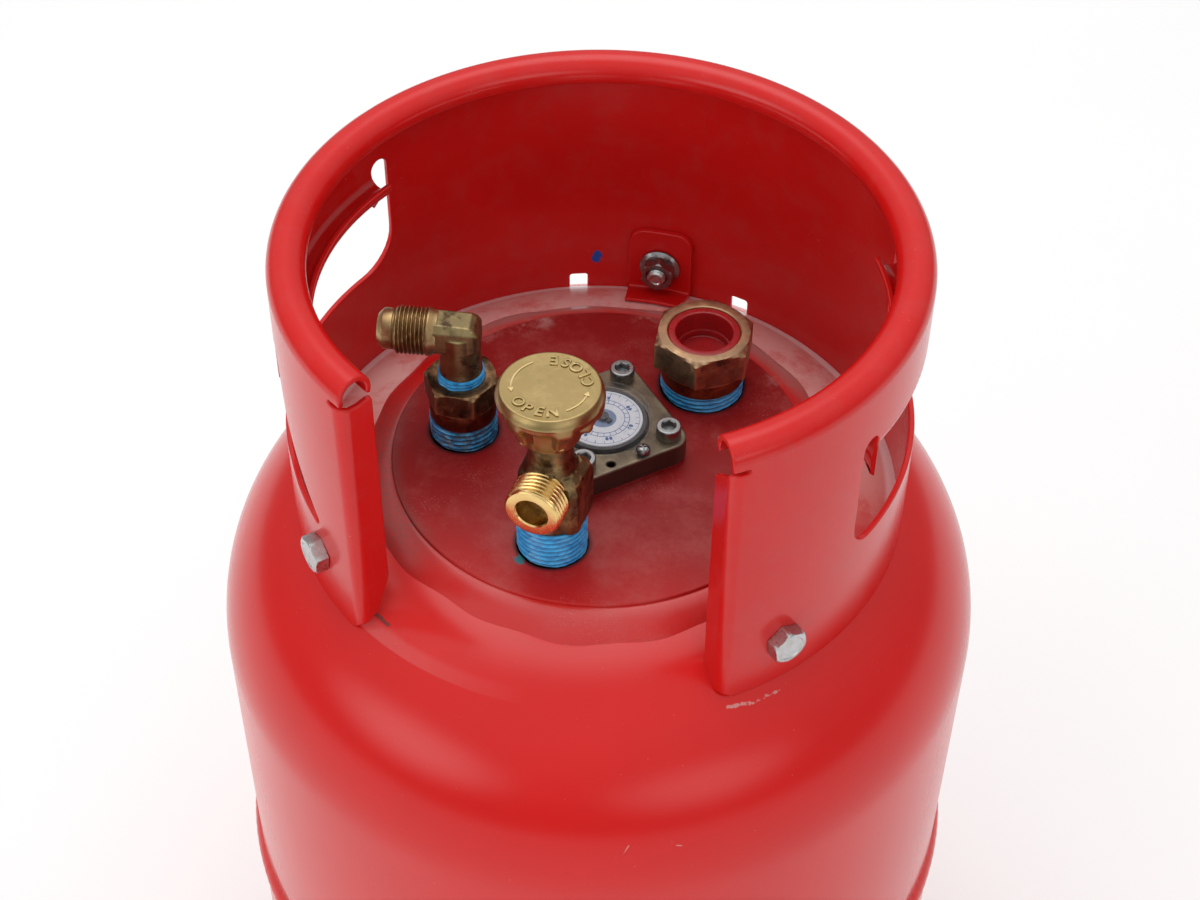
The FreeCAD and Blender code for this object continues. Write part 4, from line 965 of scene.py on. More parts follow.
def foot():
    """The foot ring: a rolled strip with four vents, curled in at the floor, and its seam."""
    low = FOOT_CURL - FOOT_WEAR
    wall_top = CROWN_Z - math.sqrt(CROWN_R ** 2 - (FOOT_R - 1) ** 2)
    curl_mid = FOOT_CURL - FOOT_SHEET / 2
    curl = math.pi * curl_mid
    length = 2 * math.pi * FOOT_R

    def place(u, v, d):
        if v >= low:
            r, z = FOOT_R - d, v
        elif v > low - curl:
            a = (low - v) / curl_mid
            r = FOOT_R - FOOT_CURL + (FOOT_CURL - d) * math.cos(a)
            z = low - (FOOT_CURL - d) * math.sin(a)
        else:
            r, z = FOOT_R - 2 * FOOT_CURL + d, low + (low - curl - v)
        x, y = polar(r, 360 * u / length)
        return x, y, max(0.0, z)
    gap = 0.15
    bottom = low - curl - 4
    outer = [(gap, bottom), (length - gap, bottom), (length - gap, wall_top), (gap, wall_top)]
    holes = []
    for azimuth in (45, 135, 225, 315):
        c = length * azimuth / 360
        holes.append(arc(c - 14, 28, 8, 270, 90, 12) + arc(c + 14, 28, 8, 90, -90, 12))
    grid = lattice(steps(0, length, 4), steps(bottom, low, 0.8) + steps(low + 3, wall_top, 5))
    pressed = press(place, outer, holes, grid, FOOT_SHEET, 0.6, 3)
    build_pressed("foot_ring_skin", pressed, PAINT, replaces=["foot_ring"])
    weld = spin([(0, 6.0), (1.2, 6.4), (1.9, 9), (1.9, wall_top - 1), (0, wall_top + 0.5)], 16)
    build("foot_ring_seam", [turn(weld, 0, (0, -FOOT_R + 0.9, 0))], PAINT)


# ------------------------------------------------------------------ guard collar

ROLL_MID = ROLL_R - SHEET / 2
ROLL_LENGTH = math.radians(205) * ROLL_MID
LIP_LENGTH = math.radians(185) * ROLL_MID
TURN_R = COLLAR_R - BEND_R
BEND_START = 180 - GAP_HALF - math.degrees(math.asin(BEND_R / TURN_R))
BEND_ANGLE = math.pi / 2 + math.asin(BEND_R / TURN_R)
U_BEND = COLLAR_R * math.radians(BEND_START)
U_ROLL = COLLAR_R * math.radians(180 - GAP_HALF)
U_FLAT = U_BEND + BEND_R * BEND_ANGLE
U_END = U_FLAT + math.sqrt(TURN_R ** 2 - BEND_R ** 2) - (COLLAR_R - FLANGE_W)
SLIT = PLATE + 98.0                             # between the turned-in edges and the rolled rim
HOLE_U = COLLAR_R * math.radians(180 - HOLE_AZ)
LIP_EDGE = HOLE_LIP - LIP_LENGTH


def collar_place(u, v, d):
    """Lays the collar's flat pattern in space. u runs round from the back, v up the wall."""
    side = 1 if u >= 0 else -1
    a = abs(u)
    in_lip = LIP_EDGE - 1 < v < HOLE_LIP and abs(a - HOLE_U) < HOLE_HALF - 6
    if a > U_BEND and v < SLIT:
        gap = math.radians(GAP_HALF)
        along = np.array([side * math.sin(gap), -math.cos(gap)])
        across = np.array([side * math.cos(gap), math.sin(gap)])
        centre = along * math.sqrt(TURN_R ** 2 - BEND_R ** 2) + across * BEND_R
        start = centre / np.linalg.norm(centre)
        back = -across
        t = min((a - U_BEND) / BEND_R, BEND_ANGLE)
        sideways = back - (back @ start) * start
        sideways /= np.linalg.norm(sideways)
        way = start * math.cos(t) + sideways * math.sin(t)
        p = centre + (BEND_R - d) * way
        if a > U_FLAT:
            p = p - along * (a - U_FLAT)
        return p[0], p[1], v
    azimuth = 180 - math.degrees(u / COLLAR_R)
    if v > RIM_Z:
        phi = (v - RIM_Z) / ROLL_MID
        r, z = ROLL_C + (ROLL_R - d) * math.cos(phi), RIM_Z + (ROLL_R - d) * math.sin(phi)
    elif in_lip:
        phi = (HOLE_LIP - v) / ROLL_MID
        r, z = ROLL_C + (ROLL_R - d) * math.cos(phi), HOLE_LIP - (ROLL_R - d) * math.sin(phi)
    else:
        r, z = COLLAR_R - d, v
    x, y = polar(r, azimuth)
    return x, y, z


def collar():
    """The guard collar, pressed from one flat pattern."""
    wall_low = shoulder_z(COLLAR_R)
    drain = COLLAR_R * math.radians(180 - DRAIN_AZ)

    def notch(c):
        r = 1.2
        side, top = DRAIN_HALF - r, DRAIN_TOP - r
        return ([(c - DRAIN_HALF, wall_low)] + arc(c - side, top, r, 180, 90, 5)
                + arc(c + side, top, r, 90, 0, 5) + [(c + DRAIN_HALF, wall_low)])
    tip = U_END
    right = ([(U_BEND - 2, wall_low)] + above(PLATE, [(U_BEND + 3, -15.5), (U_FLAT, -15)])
             + arc(tip - 3, PLATE - 10.5, 3, -70, 0, 6)
             + above(PLATE, [(tip, 85), (tip - 1.0, 87.2), (tip - 4, 89.6), (tip - 8, 92.6),
                             (U_FLAT - 1, 95.6), (U_FLAT - 4, 96.6), (U_BEND, 97.0)])
             + arc(U_BEND - 0.8, SLIT, 1.0, 270, 90, 7)
             + [(U_ROLL, PLATE + 99.0), (U_ROLL, RIM_Z + ROLL_LENGTH)])
    left = ([(-U_ROLL, RIM_Z + ROLL_LENGTH), (-U_ROLL, PLATE + 99.0)]
            + arc(-U_BEND + 0.8, SLIT, 1.0, 90, -90, 7)
            + above(PLATE, [(-U_BEND - 3, 96.8), (-U_FLAT, 95.6), (-U_FLAT - 4, 95.3), (-tip + 1.5, 96.0),
                            (-tip + 0.4, 95.6), (-tip, 94.5), (-tip, 5.5), (-tip + 1.0, 3.0),
                            (-tip + 6.4, -9.5), (-U_FLAT + 0.5, -12.0), (-U_BEND - 2.5, -14.0)])
            + [(-U_BEND + 2, wall_low)])
    outer = notch(-drain) + notch(drain) + right + left
    holes = [hand_hole(-1), hand_hole(1)]
    for azimuth, z in BOLTS.values():
        u = COLLAR_R * math.radians(math.copysign(180, azimuth) - azimuth)
        holes.append(circle(u, z, BOLT_HOLE_R, 28, True))
    mirrored = (-1, 1)
    us = steps(-U_BEND, U_BEND, 3.2)
    us += [s * (U_BEND + k) for s in mirrored for k in steps(0.5, U_FLAT - U_BEND, 0.7)]
    us += [s * (U_FLAT + k) for s in mirrored for k in steps(2.5, U_END - U_FLAT, 3)]
    vs = steps(wall_low, RIM_Z - 2, 4) + steps(RIM_Z, RIM_Z + ROLL_LENGTH, 0.75)
    grid = lattice(us, vs)
    for side in mirrored:
        c = side * HOLE_U
        grid += lattice(steps(c - 54, c + 54, 3.2), steps(LIP_EDGE, HOLE_LIP, 0.75))
    pressed = press(collar_place, outer, holes, grid, SHEET, 0.7, 2.4)
    build_pressed("collar_skin", pressed, PAINT_COLLAR, replaces=["collar"])


def hand_hole(side):
    """A hand hole, the outline of its curled lip, and the relief notches at the lip's ends."""
    c = side * HOLE_U
    front, rear = 10, 17
    a, b = (rear, front) if side > 0 else (front, rear)
    half = COLLAR_R * math.asin(HOLE_HALF / COLLAR_R)
    lip = COLLAR_R * math.asin((HOLE_HALF - 7.4) / COLLAR_R)
    mid, slot = (half + lip) / 2, (half - lip) / 2
    if side > 0:
        first = arc(c - half + a, HOLE_LOW + a, a, 180, 270, 9)
    else:
        first = slanted_corner(-COLLAR_R * math.radians(180 - SLANT_AZ))
    loop = (first + arc(c + half - b, HOLE_LOW + b, b, 270, 360, 9)
            + arc(c + mid, HOLE_LIP - 0.7, slot, 0, 180, 11)
            + above(LIP_EDGE, [(c + lip, 1.5), (c + lip - 1.5, 0), (c - lip + 1.5, 0), (c - lip, 1.5)])
            + arc(c - mid, HOLE_LIP - 0.7, slot, 0, 180, 11))
    return loop[::-1]


def slanted_corner(u):
    """The left hand hole's front corner, which reaches towards the bolt."""
    tip = arc(u - 15.2, HOLE_LOW - 4.0, 2.5, 140, 265, 7)
    rise = [(u + 8.6, HOLE_LOW + 24), (u + 1.5, HOLE_LOW + 16)]
    return rise + tip + [(u + 4, HOLE_LOW - 4), (u + 12, HOLE_LOW)]


def brackets():
    """Pressed angles welded to the shoulder, one behind each bolt."""
    outer = COLLAR_R - SHEET - 0.05
    rise = PLATE + 18
    slope = math.atan2(shoulder_z(outer - 15) - shoulder_z(outer - 2), 13)
    knee = shoulder_z(outer - 2) + 1
    bend_r = 4.0
    bend = (math.pi / 2 - slope) * (bend_r - BRACKET_SHEET / 2)
    for name, (azimuth, z_bolt) in BOLTS.items():
        def place(u, v, d):
            base = knee + 2.5
            if v >= base:
                r, z = outer - d, v
            elif v > base - bend:
                t = (base - v) / (bend_r - BRACKET_SHEET / 2)
                r = outer - bend_r + (bend_r - d) * math.cos(t)
                z = base - (bend_r - d) * math.sin(t)
            else:
                t = bend / (bend_r - BRACKET_SHEET / 2)
                run = base - bend - v
                r = outer - bend_r + (bend_r - d) * math.cos(t) - run * math.sin(t)
                z = base - (bend_r - d) * math.sin(t) + run * math.sin(slope)
            x, y = polar(r, azimuth + math.degrees(u / outer))
            return x, y, z
        low = knee + 2.5 - bend - (19 if name == "back" else 11)
        outline = [(-BRACKET_HALF, low), (BRACKET_HALF, low)]
        outline += arc(7, rise - 7, 7, 0, 90, 10) + arc(-7, rise - 7, 7, 90, 180, 10)
        hole = circle(0, z_bolt, BOLT_HOLE_R, 28, True)
        grid = lattice(steps(-BRACKET_HALF, BRACKET_HALF, 2.8),
                       steps(low, knee + 3, 0.8) + steps(knee + 5, rise, 3))
        pressed = press(place, outline, [hole], grid, BRACKET_SHEET, 0.7, 2)
        build_pressed("bracket_" + name, pressed, BRACKET_PAINT,
                      replaces=["collar_bracket_" + name])


def hexed(flats, low, high, chamfer, lower_chamfer=False):
    """Rows of a hexagon's side with rounded-off corners."""
    half = flats / 2
    tip = half / math.cos(math.radians(30))
    rows = []
    if lower_chamfer:
        rows += [(half, low, half + 0.15 * chamfer), (half, low + 0.35 * (tip - half), tip)]
    else:
        rows += [(half, low, tip)]
    rows += [(half, (low + high) / 2, tip)]
    rows += [(half, high - 0.62 * (tip - half), tip), (half, high - 0.3 * (tip - half), (tip + half) / 2),
             (half, high - 0.06, half + 0.1), (half - 0.15, high)]
    return rows


def fixings():
    """Hexagon bolts outside the collar, flange nuts and bolt ends inside."""
    heads, nuts = [], []
    seat = COLLAR_R - SHEET - 3.5
    for k, (azimuth, z) in enumerate(BOLTS.values()):
        spot = (0, 0, z)
        face = COLLAR_R
        rows = above(face, [(3.9, -3), (3.9, -0.02), (6.3, -0.02)])
        rows += hexed(13, face + 0.1, face + 5.4, 0.6) + above(face, [(5.2, 5.4), (4.9, 5.15), (0, 5.15)])
        heads.append(aim(spin(rows, 96, start=20 + 17 * k), spot, azimuth))
        end = spin([(0, 105.6), (1.9, 105.6), (2.5, 105.2), (3.2, 105.3)]
                   + [(3.95, s) for s in steps(106.2, seat, 0.14)], 48,
                   shape=thread(1.25, 0.45, 106.0, seat))
        heads.append(aim(end, spot, azimuth))
        nut = above(seat, [(4.0, 0), (8.2, 0), (8.8, -0.4), (8.8, -1.1), (7.9, -1.9), (7.2, -2.4),
                           (6.5, -2.5, 7.4)])
        nut += above(seat - 7.6, [(6.5, 0.9, 7.5), (6.5, 0.4, 7.1), (6.45, 0, 6.6), (5.6, 0), (4.6, 0.2),
                                  (4.0, 0.8)])
        nuts.append(aim(spin(nut, 96, start=10 + 13 * k), spot, azimuth))
    build("collar_bolt_set", heads, ZINC, replaces=["collar_bolts"])
    build("collar_nut_set", nuts, SCREW_STEEL, replaces=["collar_nuts"])


# ------------------------------------------------------------------ service valve

def sealed_thread(name, centre, r, height, pitch, material, sealant_node):
    """A base thread filled with paste, standing on the plate."""
    low, high = PLATE, PLATE + height
    groove = thread(pitch, 0.75, low - 1, high + 1, 0.4)

    def rule(azimuth, radius, z):
        if radius < r - 1:
            return radius
        lumps = 0.10 * math.sin(math.radians(azimuth * 7 + z * 40))
        lumps += 0.06 * math.sin(math.radians(azimuth * 23 - z * 90))
        return min(r + 0.05, groove(azimuth, r, z) + lumps)
    rows = [(r - 1.6, low)] + [(r, z) for z in steps(low, high - 0.3, pitch / 14)]
    rows += [(r - 0.5, high), (r - 1.6, high)]
    build(name, [spin(rows, 160, (centre.x, centre.y), rule, loop=True)], material,
          replaces=[sealant_node])


def service_valve():
    """Casting, turned outlet, base thread and bonnet nut."""
    top = PLATE + 56
    block = bar(chamfered(-10.5, 13.7, -10, 10, 2.4),
                [(PLATE + 16.5, 0.93), (PLATE + 17.5, 0.985), (PLATE + 19, 1), (PLATE + 37, 1),
                 (PLATE + 40, 0.93), (PLATE + 42.5, 0.72)])
    core = spin(above(PLATE, [(0, -14), (12.4, -14), (12.4, 36), (10.5, 41), (9.0, 45), (8.4, 48),
                              (8.4, 56), (0, 56)]), 72)
    root = aim(spin([(0, 0), (9.2, 0), (9.2, 8.6), (0, 8.6)], 64), (0, 0, OUTLET_Z), 0)
    pad = bar(chamfered(-3.4, 4.6, -9.4, 0, 0.5), [(PLATE + 39, 1), (PLATE + 44.4, 1), (PLATE + 45, 0.94)])
    shapes = [turn(s, OUTLET_AZ, (VALVE.x, VALVE.y, 0)) for s in (block, core, root, pad)]
    cast("valve_casting", shapes, VALVE_BRASS, 0.32, 5, replaces=["valve_body"])

    cut = thread(1.814, 1.1, 9.0, 18.9, 0.7)
    rows = [(6.2, 9.6), (6.2, 18.9), (6.6, 19.5), (9.9, 19.5), (10.1, 19.4)]
    rows += [(min(10.9, 10.1 + (19.4 - s)), s) for s in steps(19.3, 8.6, 0.15)]
    rows += [(9.7, 8.3), (9.3, 6.5), (5.0, 6.5), (3.0, 8.0), (3.0, 8.4)]
    stub = spin(rows, 160, shape=lambda a, r, z: cut(a, r, z) if r > 9.85 else r, loop=True)
    seat = spin([(0, 3.0), (3.05, 3.0), (3.05, 9.0), (6.25, 10.8), (6.25, 10.0), (3.3, 8.2), (3.3, 2.6),
                 (0, 2.6)], 64)
    spot = (VALVE.x, VALVE.y, OUTLET_Z)
    build("valve_outlet", [aim(stub, spot, OUTLET_AZ), aim(seat, spot, OUTLET_AZ)], TURNED)
    sealed_thread("valve_base_thread", VALVE, BASE_R, 16.4, 2.3, BLUE_VALVE, "valve_sealant")
    nut = spin([(3.05, top - 1)] + hexed(15, top - 0.2, top + 5, 0.4) + [(3.05, top + 5)], 96,
               (VALVE.x, VALVE.y), start=12)
    build("bonnet_nut", [nut], STEEL, replaces=["bonnet"])


def lobes(azimuth):
    """1 on each of the handwheel's six ribs, 0 between them."""
    wave = math.cos(math.radians(6 * (azimuth - 30)))
    return smooth(0.1, 0.75, wave)


def handwheel():
    """The lobed handwheel with six small nubs under it."""
    top = WHEEL_TOP
    lobe = [(57, 10.9), (60.5, 12.0), (61.6, 12.9), (62.6, 15.2), (66, 16.2), (69, 17.5), (70.5, 18.8),
            (72.5, 19.5), (76, 19.7)]
    dale = [(57, 10.6), (60, 11.2), (63, 11.7), (66, 12.2), (68.5, 13.2), (70.5, 15.4), (72, 17.4),
            (73.5, 18.9), (76, 19.4)]

    def rule(azimuth, r, z):
        h = z - PLATE
        if r < 10.0 or h > 76.2:
            return r
        a = np.interp(h, *zip(*lobe))
        b = np.interp(h, *zip(*dale))
        return float(b + (a - b) * lobes(azimuth))
    outer = [(0, top), (12, top), (17.3, top - 0.02)] + arc(17.6, top - 0.9, 0.9, 90, 40, 5)
    outer += [(18.9, top - 1.5), (19.45, top - 2.4), (19.7, top - 3.6)]
    outer += [(15, z) for z in steps(top - 4.2, PLATE + 57.6, 0.8)]
    inner = above(PLATE, [(10.1, 57), (9.5, 57.2), (9.4, 65), (5.5, 68.4), (3.0, 71), (0, 71)])
    wheel = spin(outer + inner, 216, shape=rule)
    nubs = [turn(ball(2.05, (0, -13.5, PLATE + 63)), 30 + 60 * k) for k in range(6)]
    at = (WHEEL.x, WHEEL.y, 0)
    shapes = [turn(s, 0, at) for s in [wheel] + nubs]
    build("handwheel_dish", shapes, WHEEL_BRASS, "handwheel_set", ["handwheel"], 40)
    raised_words()


def raised_words():
    """Generic words and arrows cast into the wheel's top."""
    shapes = []
    for word, azimuth, gap in (("OPEN", -12.0, 19.5), ("CLOSE", 150.0, 18.5)):
        for k, letter in enumerate(word):
            shapes.append(letter_shape(letter, 6.2, 0.55, 13.6, azimuth + gap * (k - (len(word) - 1) / 2)))
    shapes.append(curved_arrow(38, 44, 13.8))
    shapes.append(curved_arrow(-140, 66, 13.8))
    at = (WHEEL.x, WHEEL.y, WHEEL_TOP - 0.15)
    # The raised letters use the brighter brass, a painted highlight
    build("handwheel_lettering", [turn(s, 0, at) for s in shapes], LETTER_PAINTED_HIGHLIGHT_BRASS,
          "handwheel_set", sharp=50)


def letter_shape(letter, size, height, r, azimuth):
    """One raised letter, its foot towards the rim, at a radius and azimuth."""
    curve = bpy.data.curves.new("letter", "FONT")
    curve.body = letter
    curve.size = size
    curve.extrude = height / 2
    curve.bevel_depth = 0.12
    curve.offset = 0.10
    curve.align_x = "CENTER"
    curve.align_y = "CENTER"
    obj = bpy.data.objects.new("letter", curve)
    bpy.context.scene.collection.objects.link(obj)
    graph = bpy.context.evaluated_depsgraph_get()
    mesh = bpy.data.meshes.new_from_object(obj.evaluated_get(graph))
    verts = [(v.co.x, v.co.y - r, v.co.z + height / 2) for v in mesh.vertices]
    faces = [tuple(p.vertices) for p in mesh.polygons]
    bpy.data.objects.remove(obj)
    bpy.data.meshes.remove(mesh)
    bpy.data.curves.remove(curve)
    return turn((verts, faces), azimuth)


def curved_arrow(azimuth, sweep, r):
    """A flat raised arrow that follows the rim."""
    half, height = 0.3, 0.4
    inner = [polar(r - half, a) for a in np.linspace(azimuth, azimuth + sweep, 16)]
    outer = [polar(r + half, a) for a in np.linspace(azimuth + sweep, azimuth, 16)]
    head = [polar(r - 1.2, azimuth + sweep), polar(r, azimuth + sweep + 9), polar(r + 1.2, azimuth + sweep)]
    plan = inner + head + outer
    return loft([[(x, y, z) for x, y in plan] for z in (0, height)])


# ------------------------------------------------------------------ fill connection

def fill_connection():
    """Base thread and adapter, with the elbow on it."""
    x, y = FILL.x, FILL.y
    sealed_thread("fill_base_thread", FILL, BASE_R, 10.2, 2.3, BLUE_FILL, "fill_sealant")
    rows = above(PLATE, [(12.0, -14), (12.4, 10), (13.0, 10.3), (13.15, 13), (13.05, 17), (12.6, 18.3),
                         (9, 18.3), (9, -14)])
    band = spin(rows, 96, (x, y), loop=True)
    build("fill_adapter_band", [band], BROWNED)
    rows = [(8.6, PLATE + 18)] + hexed(26.4, PLATE + 18, PLATE + 29, 1.2, True)
    rows += above(PLATE, [(11.5, 29), (9.4, 29), (8.6, 28)])
    hexagon = spin(rows, 144, (x, y), start=HEX_FILL_AZ, loop=True)
    build("fill_adapter_hexagon", [hexagon], DARK_BRASS, replaces=["fill_adapter"])
    elbow(x, y)


def elbow(x, y):
    """The cast elbow, its flare thread, and the paste squeezed out under it."""
    upright = spin(above(PLATE, [(0, 24), (8.5, 24), (8.5, 33), (8.2, 35)])
                   + above(ELBOW_Z, [(8.2, 2), (0, 2)]), 72)
    half = 7.2
    section = chamfered(-half, half, -half, half, 2.6)
    stations = ((-8.0, 4.0, 0.80), (-6.4, 2.0, 0.93), (-4.5, 0.6, 1.0), (6, 0, 1), (11.6, 0, 1))
    rings = [[(px * scale, min(py * scale, half - cut), s) for px, py in section]
             for s, cut, scale in stations]
    arm = aim(loft(rings), (0, 0, ELBOW_Z), 0)
    shapes = [turn(shape, ELBOW_AZ, (x, y, 0)) for shape in (upright, arm)]
    cast("elbow_casting", shapes, ELBOW_BRASS, 0.3, 6, replaces=["fill_elbow"])
    cut = thread(1.5875, 0.95, 11.5, 23.9, 0.8)
    rows = [(5.0, 8), (5.0, 30.4), (5.4, 30.9), (6.0, 30.9), (7.9, 29.0), (8.0, 28.7), (8.0, 25.2),
            (7.7, 24.8), (7.7, 24.4)]
    rows += [(min(9.4, 8.2 + (24.3 - s) * 1.2), s) for s in steps(24.2, 11.0, 0.13)]
    rows += [(9.2, 11.0), (8.0, 8)]
    stub = spin(rows, 144, shape=lambda a, r, z: cut(a, r, z) if r > 8.3 else r, loop=True)
    plug = spin([(0, 7), (5.2, 7), (5.2, 8.2), (0, 8.2)], 48)
    spot = (x, y, ELBOW_Z)
    build("elbow_flare", [aim(stub, spot, ELBOW_AZ), aim(plug, spot, ELBOW_AZ)], FLARE_BRASS)
    rows = [(8.1, PLATE + 28.6)] + [(9.35, z) for z in steps(PLATE + 28.8, PLATE + 32.0, 0.35)]
    rows += above(PLATE, [(8.7, 32.6), (8.1, 32.8)])
    lumps = spin(rows, 120, (x, y), elbow_paste, loop=True)
    build("elbow_paste", [lumps], BLUE_MILD, replaces=["elbow_sealant"])


def elbow_paste(azimuth, r, z):
    """Uneven squeezed-out paste, thicker at the front left."""
    if r < 8.5:
        return r
    h = z - PLATE
    front = math.exp(-(((azimuth + 25 + 180) % 360 - 180) / 38) ** 2)
    ridge = 0.22 * math.cos(math.radians(h * 260))
    lumps = 0.25 * math.sin(math.radians(azimuth * 9 + h * 30)) * front
    return 9.0 + 0.5 * front * (1 - smooth(30.2, 32.5, h)) + ridge + lumps


# ------------------------------------------------------------------ relief valve

def relief_valve():
    """The relief valve's large hexagon and its dust plug."""
    x, y = RELIEF.x, RELIEF.y
    sealed_thread("relief_base_thread", RELIEF, RELIEF_BASE_R, 6.6, 2.2, BLUE_RELIEF, "relief_sealant")
    rows = above(PLATE, [(14.6, -18), (15.6, -18), (15.6, 6.4), (16.7, 6.7), (16.9, 8), (16.85, 13),
                         (16.6, 15.4), (14.6, 15.4)])
    build("relief_band", [spin(rows, 128, (x, y), loop=True)], COPPERY)
    rows = [(14.55, PLATE + 14)] + hexed(36.5, PLATE + 14.6, PLATE + 29, 1.5, True)
    rows += above(PLATE, [(15.0, 29), (14.55, 28.6)])
    hexagon = spin(rows, 192, (x, y), start=HEX_RELIEF_AZ, loop=True)
    build("relief_hexagon", [hexagon], RELIEF_BRASS, replaces=["relief_body"])
    top, low = PLATE + 28.4, lowest("dust_plug").z
    rows = [(0, low), (10.2, low), (14.4, low + 1.2), (14.5, top - 0.7)]
    rows += arc(13.9, top - 0.6, 0.6, 0, 90, 5) + [(12.2, top)] + arc(12.0, top - 0.6, 0.6, 90, 180, 5)
    rows += above(low, [(11.2, 5.4), (11.0, 5.0), (10.4, 4.9), (10.2, 4.6), (10.1, 2.3), (9.8, 2.0),
                        (3, 2.0), (2.4, 2.3), (0, 2.3)])
    build("dust_plug_cup", [spin(rows, 128, (x, y))], CUP_RED, "dust_plug", ["dust_plug"])


# ------------------------------------------------------------------ level gauge

def on_gauge(r, azimuth):
    """A point at a distance and azimuth from the gauge's centre."""
    x, y = polar(r, azimuth)
    return GAUGE.x + x, GAUGE.y + y


def gauge():
    """The gauge's cast flange, gasket and socket screws."""
    z = FLANGE_TOP
    centre = (GAUGE.x, GAUGE.y)
    screws = [GAUGE_TURN + 90 * k for k in range(4)]
    holes = [circle(*centre, GAUGE_BORE, 72, True)]
    holes += [circle(*on_gauge(GAUGE_PCD / 2, a), 3.3, 24, True) for a in screws]
    holes.append(circle(*on_gauge(DIAL_SCREW_R, 20.4), 1.5, 24, True))
    grid = [(centre[0] + u, centre[1] + v) for u, v in around(34, 34, 2.5)]
    body = press(flat(z), diamond(GAUGE_PCD / 2, 7), holes, grid, 10.0, 0.9, 1.2)
    build_pressed("gauge_casting", body, ALLOY, replaces=["gauge_flange"])
    holes = [circle(*centre, GAUGE_BORE, 72, True)]
    sheet = press(flat(z - 10), diamond(GAUGE_PCD / 2, 5.8), holes, grid, 1.0, 0.2, 2)
    build_pressed("gauge_gasket_ring", sheet, RUBBER, replaces=["gauge_gasket"])
    heads = []
    for k, azimuth in enumerate(screws):
        rows = [(0, 2.7), (2.4, 2.7, 9), (2.5, 2.9, 9), (2.5, 5.1, 9), (3.0, 5.5, 3.1), (4.2, 5.5)]
        rows += arc(4.25, 4.85, 0.65, 90, 0, 6) + [(4.9, 0.4), (4.75, 0), (3, 0), (3, -8), (0, -8)]
        rows = above(z, rows)
        heads.append(turn(spin(rows, 72, start=25 + 13 * k), 0, (*on_gauge(GAUGE_PCD / 2, azimuth), 0)))
    build("gauge_socket_screws", heads, SCREW_STEEL, replaces=["gauge_screws"], sharp=38)
    dial(z)


def dial(z):
    """The dial's cup, card and printed scale."""
    centre = (GAUGE.x, GAUGE.y)
    cup = spin(above(z, [(0, -2.6), (17.4, -2.6), (17.5, 0.8), (17.2, 1.5), (15.7, 1.5), (15.6, 1.1),
                         (0, 1.1)]), 96, centre)
    build("dial_cup_body", [cup], BLACK, replaces=["dial_cup"])
    face_z = z + 1.5
    rows = above(face_z, [(1.2, -0.3), (15.4, -0.3), (15.6, 0), (15.4, 0.3), (1.2, 0.3)])
    face = spin(rows, 120, centre, loop=True)
    build("dial_card", [face], DIAL_WHITE, replaces=["dial_face"])
    ink = face_z + 0.28
    rings = [spin(above(ink, [(a, 0), (b, 0), (b, 0.06), (a, 0.06)]), 120, centre, loop=True)
             for a, b in ((8.35, 8.6), (10.2, 10.45), (14.3, 14.45))]
    marks = []
    for k in range(19):
        azimuth = -120 - 270 * k / 18
        marks.append(stroke(azimuth, 8.5, 10.3, 0.22, ink))
        marks.append(stroke(azimuth, 12.9, 14.3, 0.16 if k % 2 else 0.28, ink))
    numbers = []
    for k, text in enumerate(("0", "20", "40", "60", "80", "100")):
        azimuth = -120 - 270 * k / 5
        for i, digit in enumerate(text):
            shift = (i - (len(text) - 1) / 2) * 7.5
            shape = letter_shape(digit, 1.9, 0.05, 11.7, azimuth + shift)
            numbers.append(turn(shape, 0, (*centre, ink)))
    build("dial_scale", rings + marks + numbers, DIAL_BLUE)
    hub = spin(above(ink, [(1.6, -0.1), (5.2, -0.1), (5.2, 0.07), (1.6, 0.07)]), 72, centre, loop=True)
    build("dial_centre", [hub], DIAL_GREY)
    dial_cover(z, centre)
    dial_screws(z)


def dial_cover(z, centre):
    """The clear cover and its two ears."""
    rows = [(0, 3.9), (15.6, 3.9), (17.5, 2.6), (17.75, 0.1), (19.2, 0.1), (19.2, 1.0)]
    rows += arc(17.2, 3.4, 1.6, 0, 90, 8) + [(16.2, 5.0), (0, 5.0)]
    cover = spin(above(z, rows), 128, centre)
    half, root = 3.4, -17.9
    tip = [polar(half, a) for a in range(-75, 90, 15)]
    plan = [(-half, root), (-half, -DIAL_SCREW_R)] + above(-DIAL_SCREW_R, tip)
    plan += [(half, -DIAL_SCREW_R), (half, root)]
    ear = bar(plan, [(z + 0.05, 1), (z + 1.3, 1), (z + 1.6, 0.985)])
    ears = [turn(ear, azimuth, (*centre, 0)) for azimuth in DIAL_SCREWS]
    build("dial_cover", [cover] + ears, CLEAR, replaces=["dial_lens"])


def dial_screws(z):
    """The cover's cross-slotted screws."""
    spots = [(*on_gauge(DIAL_SCREW_R, azimuth), 0) for azimuth in DIAL_SCREWS]
    head = spin(above(z, [(0, 3.7), (1.5, 3.75), (2.3, 3.3), (2.8, 2.4), (2.8, 1.65), (1.35, 1.6),
                          (1.35, -4), (0, -4)]), 40)
    heads = [turn(head, 0, spot) for spot in spots]
    screws = build("dial_cross_screws", heads, SCREW_STEEL, replaces=["dial_screws"])
    slot = bar(chamfered(-1.7, 1.7, -0.38, 0.38, 0.1), [(z + 2.9, 0.8), (z + 4.5, 1.1)])
    carve(screws, [turn(slot, twist, spot) for spot in spots for twist in (20, 110)])


